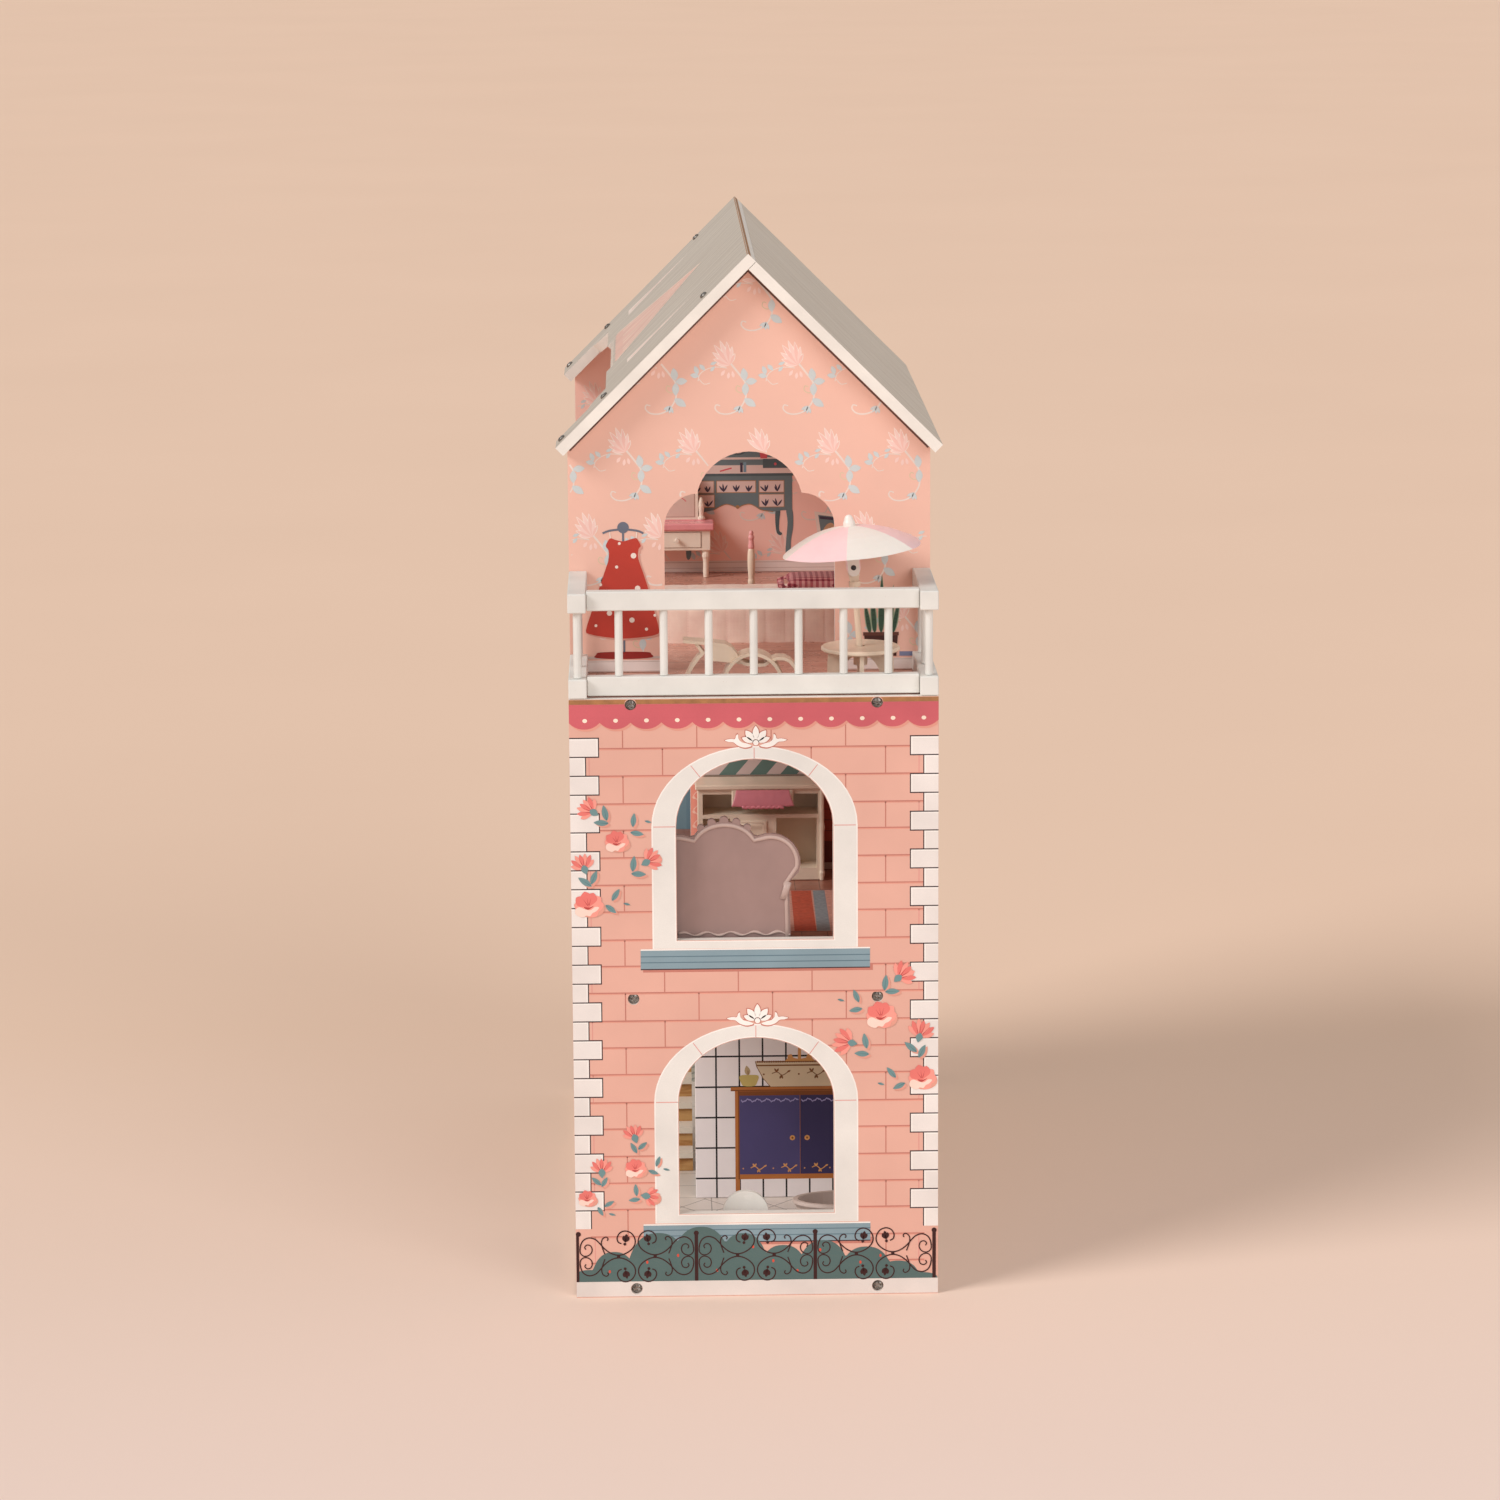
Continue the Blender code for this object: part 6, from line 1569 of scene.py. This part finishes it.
GING = cloth_weave("pillow_gingham", (190, 90, 96), weave=1900, sheen=0.25, extra=gingham((132, 44, 58), (182, 98, 106), (218, 158, 156), 0.0044))
pillow = rounded_slab("bed_pillow_cushion", (31.5, 258.5, 489.2), (78.0, 307.5, 498.4), 3, GING, "bed", "gingham_cotton", dish=0.08, cuts=12)
inflate(pillow, 0.0022, 4.0, 0.0022)

def frill_point(u, v, cx=54.6, cy=283.0, hx=23.9, hy=25.2, z0=493.0, depth=5.4, waves=30):
    t = 2 * math.pi * u
    c, s_ = math.cos(t), math.sin(t)
    e = 0.42
    x = cx + math.copysign(abs(c) ** e, c) * hx
    y = cy + math.copysign(abs(s_) ** e, s_) * hy
    out = Vector((math.copysign(abs(c) ** 1.2, c), math.copysign(abs(s_) ** 1.2, s_), 0)).normalized()
    w = math.sin(waves * t)
    return Vector((x, y, z0)) + out * (depth * v) + Vector((0, 0, (1.35 * w) * v ** 0.8 - 0.8 * v * v))


def ring_sheet(name, fn, nu, nv, thick, mat, body, slot):
    bm = bmesh.new()
    pts = [[Vector(fn(i / nu, j / nv)) for j in range(nv + 1)] for i in range(nu)]
    top, bot = [], []
    for i in range(nu):
        tr, br = [], []
        for j in range(nv + 1):
            du = pts[(i + 1) % nu][j] - pts[i - 1][j]
            dv = pts[i][min(j + 1, nv)] - pts[i][max(j - 1, 0)]
            nn = du.cross(dv).normalized()
            tr.append(bm.verts.new(P(*(pts[i][j] + nn * thick / 2))))
            br.append(bm.verts.new(P(*(pts[i][j] - nn * thick / 2))))
        top.append(tr)
        bot.append(br)
    for i in range(nu):
        k2 = (i + 1) % nu
        for j in range(nv):
            bm.faces.new((top[i][j], top[k2][j], top[k2][j + 1], top[i][j + 1]))
            bm.faces.new((bot[i][j + 1], bot[k2][j + 1], bot[k2][j], bot[i][j]))
        bm.faces.new((top[k2][0], top[i][0], bot[i][0], bot[k2][0]))
        bm.faces.new((top[i][nv], top[k2][nv], bot[k2][nv], bot[i][nv]))
    bmesh.ops.recalc_face_normals(bm, faces=bm.faces)
    return add(name, bm, mat, body, slot)


frill = ring_sheet("pillow_frill", frill_point, 360, 4, 0.5, GING, "bed", "gingham_cotton")
bm = bmesh.new()
bm.from_mesh(pillow.data)
bm.from_mesh(frill.data)
bm.to_mesh(pillow.data)
bm.free()
bpy.data.objects.remove(frill)
pillow.data.polygons.foreach_set("use_smooth", [True] * len(pillow.data.polygons))
sub = pillow.modifiers.new("sub", "SUBSURF")
sub.levels = sub.render_levels = 1
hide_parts("bed_pillow")

# ---------------------------------------------------------------- bedding of the crowned bed (seen from the open side)
def duvet_point(u, v):
    y = 62.0 + 126.0 * v
    s = -56.0 + 112.0 * u
    a, sg = abs(s), (1 if s >= 0 else -1)
    flat_to, r = 42.4, 3.0
    arc = r * math.pi / 2
    if a < flat_to:
        dx, dz = a, 0.0
    elif a < flat_to + arc:
        t = (a - flat_to) / r
        dx, dz = flat_to + r * math.sin(t), -(r - r * math.cos(t))
    else:
        q = a - flat_to - arc
        dx, dz = flat_to + r + 0.5 * math.sin(y * 0.24) * q / 9.0, -r - q
    z = 275.0 + dz + (0.35 * math.sin(y * 0.12 + s * 0.07) if a < flat_to else 0.0)
    fold = max(0.0, 1 - (y - 62.0) / 9.0)
    return Vector((-22.2 + sg * dx, y, z + 1.2 * fold * fold))


def spots(n, col):
    v = n.new("TexVoronoi", feature="F1")
    v.inputs["Scale"].default_value = 95
    v.inputs["Randomness"].default_value = 0.35
    n.put(v.inputs["Vector"], n.co)
    return n.mix(n.math("LESS_THAN", v.outputs["Distance"], 0.22), col, lin((250, 234, 228)))


DUVET = cloth_weave("crown_duvet_cotton", (226, 178, 182), weave=1700, extra=spots)
duvet = sheet_mesh("crown_bed_cover", duvet_point, 110, 110, 1.0, DUVET, "crown_bed", "quilt_cotton")
cpil = rounded_slab("crown_bed_cushion", (-46.0, 25.0, 275.6), (2.0, 54.0, 283.0), 3, MATT, "crown_bed", "quilt_cotton", dish=0.10, cuts=10)
inflate(cpil, 0.0024, 4.0, 0.0020)
sub = cpil.modifiers.new("sub", "SUBSURF")
sub.levels = sub.render_levels = 1

# ---------------------------------------------------------------- moulded detail on the furniture
CREAM_RIM = plastic("crown_rim_plastic", (192, 166, 157), 0.30)
outline = [(-74, 236), (-71.4, 262), (-70.6, 300.0), (-71.2, 313.0)]
cx0, w0 = -22.2, 56.2
pts = [(cx0 - w0 + 9.6, 238.0), (cx0 - w0 + 10.6, 300.0), (cx0 - w0 + 11.5, 312.0)]
pts += [(cx0 - w0 + 22.0 - 19.4 * math.cos(math.radians(a)), 328.0 + 19.2 * math.sin(math.radians(a))) for a in range(-18, 110, 8)]
pts += [(cx0 - 23.6 * math.cos(math.radians(a)), 338.0 + 18.6 * math.sin(math.radians(a))) for a in range(22, 159, 8)]
pts += [(cx0 + w0 - 22.0 + 19.4 * math.cos(math.radians(a)), 328.0 + 19.2 * math.sin(math.radians(a))) for a in range(109, -19, -8)]
pts += [(cx0 + w0 - 11.5, 312.0), (cx0 + w0 - 10.6, 300.0), (cx0 + w0 - 9.6, 238.0)]
bm = bmesh.new()
tube(bm, [(x, 12.9, z) for x, z in pts], 1.5, seg=10, flat=0.8, normal=(0, 1, 0))
add("crown_bed_rim", bm, CREAM_RIM, "crown_bed", "mauve_plastic")
# scroll moulded along the headboard's foot and a plaque at its side
bm = bmesh.new()
path = [(-57 + 2.08 * j, 12.8, 274.8 + 1.3 * math.sin(j * 0.75)) for j in range(41)]
tube(bm, path, lambda t: 0.9 + 0.35 * math.sin(t * 38), seg=8, normal=(0, 1, 0))
add("crown_bed_scroll", bm, CREAM_RIM, "crown_bed", "mauve_plastic")
bm = bmesh.new()
tube(bm, [(21.0, 12.6, 300.5), (23.0, 12.4, 307.0), (25.0, 12.4, 313.6)], 2.6, seg=10, flat=0.5, normal=(0, 1, 0))
add("crown_bed_plaque", bm, CREAM_RIM, "crown_bed", "mauve_plastic")

# hutch: rose awning over the middle and door panel mouldings
ROSE = plastic("hutch_rose_plastic", (218, 134, 146), 0.34)


def awning_point(u, v):
    s = -1 + 2 * u
    w_ = 21.4 + 2.6 * v ** 1.5 + (1.4 * v if abs(s) > 0.85 else 0.0)
    x = 15.0 + s * w_
    y = 367.0 - 5.6 * math.sin(v * math.pi / 2) ** 0.9
    z = 309.3 - 12.2 * v ** 1.12 + 0.25 * math.sin(u * 40) * v
    return Vector((x, y, z))


sheet_mesh("hutch_awning", awning_point, 48, 14, 0.9, ROSE, "hutch", "canopy_plastic")
bm = bmesh.new()
tube(bm, [(-1.8 + 0.8 * j, 361.0, 296.4 + 0.35 * math.sin(j * 1.2)) for j in range(43)], 1.25, seg=8, normal=(0, 1, 0))
add("hutch_awning_lip", bm, ROSE, "hutch", "canopy_plastic")
HUTCH_P = plastic("hutch_moulding_plastic", (240, 222, 200), 0.34)
bm = bmesh.new()
tube(bm, [(-6.0, 368.4, 262.5), (-6.0, 368.4, 281.0), (15.5, 368.4, 281.0), (15.5, 368.4, 262.5)], 0.7, seg=8, closed=True, normal=(0, 1, 0))
add("hutch_panel_bead", bm, HUTCH_P, "hutch", "cream_plastic")


# vanity mirror print: frame, pane and roses
VANITY_INK = {"rose": ink("vanity_rose", (226, 120, 124)), "line": ink("vanity_line", (196, 160, 146)), "pane": ink("vanity_pane", (232, 206, 192), rough=0.2)}
pr = Print("vanity_mirror_print", (0, 566.0, 0), (1, 0, 0), (0, 0, 1), (0, -1, 0), body="vanity", slot="cream_plastic")
mirror = [(-51 - 15.6, 502.9), (-51 + 15.6, 502.9), (-51 + 15.6, 528.4)] + [(-51 + 15.6 * math.cos(math.radians(a)), 528.4 + 15.6 * math.sin(math.radians(a))) for a in range(12, 169, 12)] + [(-51 - 15.6, 528.4)]
pr.poly(mirror, VANITY_INK["line"], 0)
pr.poly([(-51 + (u + 51) * 0.94, 517.4 + (v - 517.4) * 0.95) for u, v in mirror], VANITY_INK["pane"], 1)
for ang in range(0, 360, 60):
    pr.poly(petal(-51 + 1.0 * math.cos(math.radians(ang)), 523.4 + math.sin(math.radians(ang)), ang, 4.4, 2.0), VANITY_INK["rose"], 2 + 0.1 * (ang / 60))
pr.line(smooth([(-59, 516.4), (-55, 519.4), (-51, 517.9), (-47, 519.4), (-43, 516.4)], 5), 0.8, VANITY_INK["rose"], 2)
pr.end()

# dark rivet through the sunshade's tilting bracket
RIVET = plastic("rivet_dark_steel", (58, 52, 54), 0.35)
bm = bmesh.new()
tube(bm, [(75.2, 51.1, 541.2), (75.2, 50.5, 541.2), (75.2, 50.15, 541.2), (75.2, 49.9, 541.2)], lambda t: 2.0 * (1 - 0.6 * t ** 3), seg=16, normal=(1, 0, 0))
add("sunshade_rivet", bm, RIVET, "umbrella_canopy", "screw_steel")

# ---------------------------------------------------------------- floor
bm = bmesh.new()
bmesh.ops.create_grid(bm, x_segments=8, y_segments=8, size=45.0)
me = bpy.data.meshes.new("studio_floor")
bm.to_mesh(me)
bm.free()
n = Nodes("studio_paper")
a = n.map(n.noise(1.3, 3), 0.3, 0.7, 0, 1)
n.bump(n.noise(300, 2), 0.03, 0.0002)
me.materials.append(n.done(n.mix(n.map(n.xyz()[1], -0.9, 0.5, 0, 1), n.mix(a, lin((249, 224, 211)), lin((250, 225, 213))), n.mix(a, lin((243, 210, 186)), lin((245, 212, 188)))), n.map(n.noise(3, 2), 0.3, 0.7, 0.80, 0.9), spec=0.1))
floor = bpy.data.objects.new("studio_floor", me)
scene.collection.objects.link(floor)

for nme in ("hutch", "vanity_table", "bed_frame", "crown_bed", "lounge_chair", "balcony_table", "umbrella_pole", "coat_stand"):
    soften(nme, 0.35, 45, 2)
for nme in ("front_end_wall", "rear_end_wall", "roof_panel_left", "roof_panel_right", "base_board"):
    soften(nme, 0.3, 50, 2)
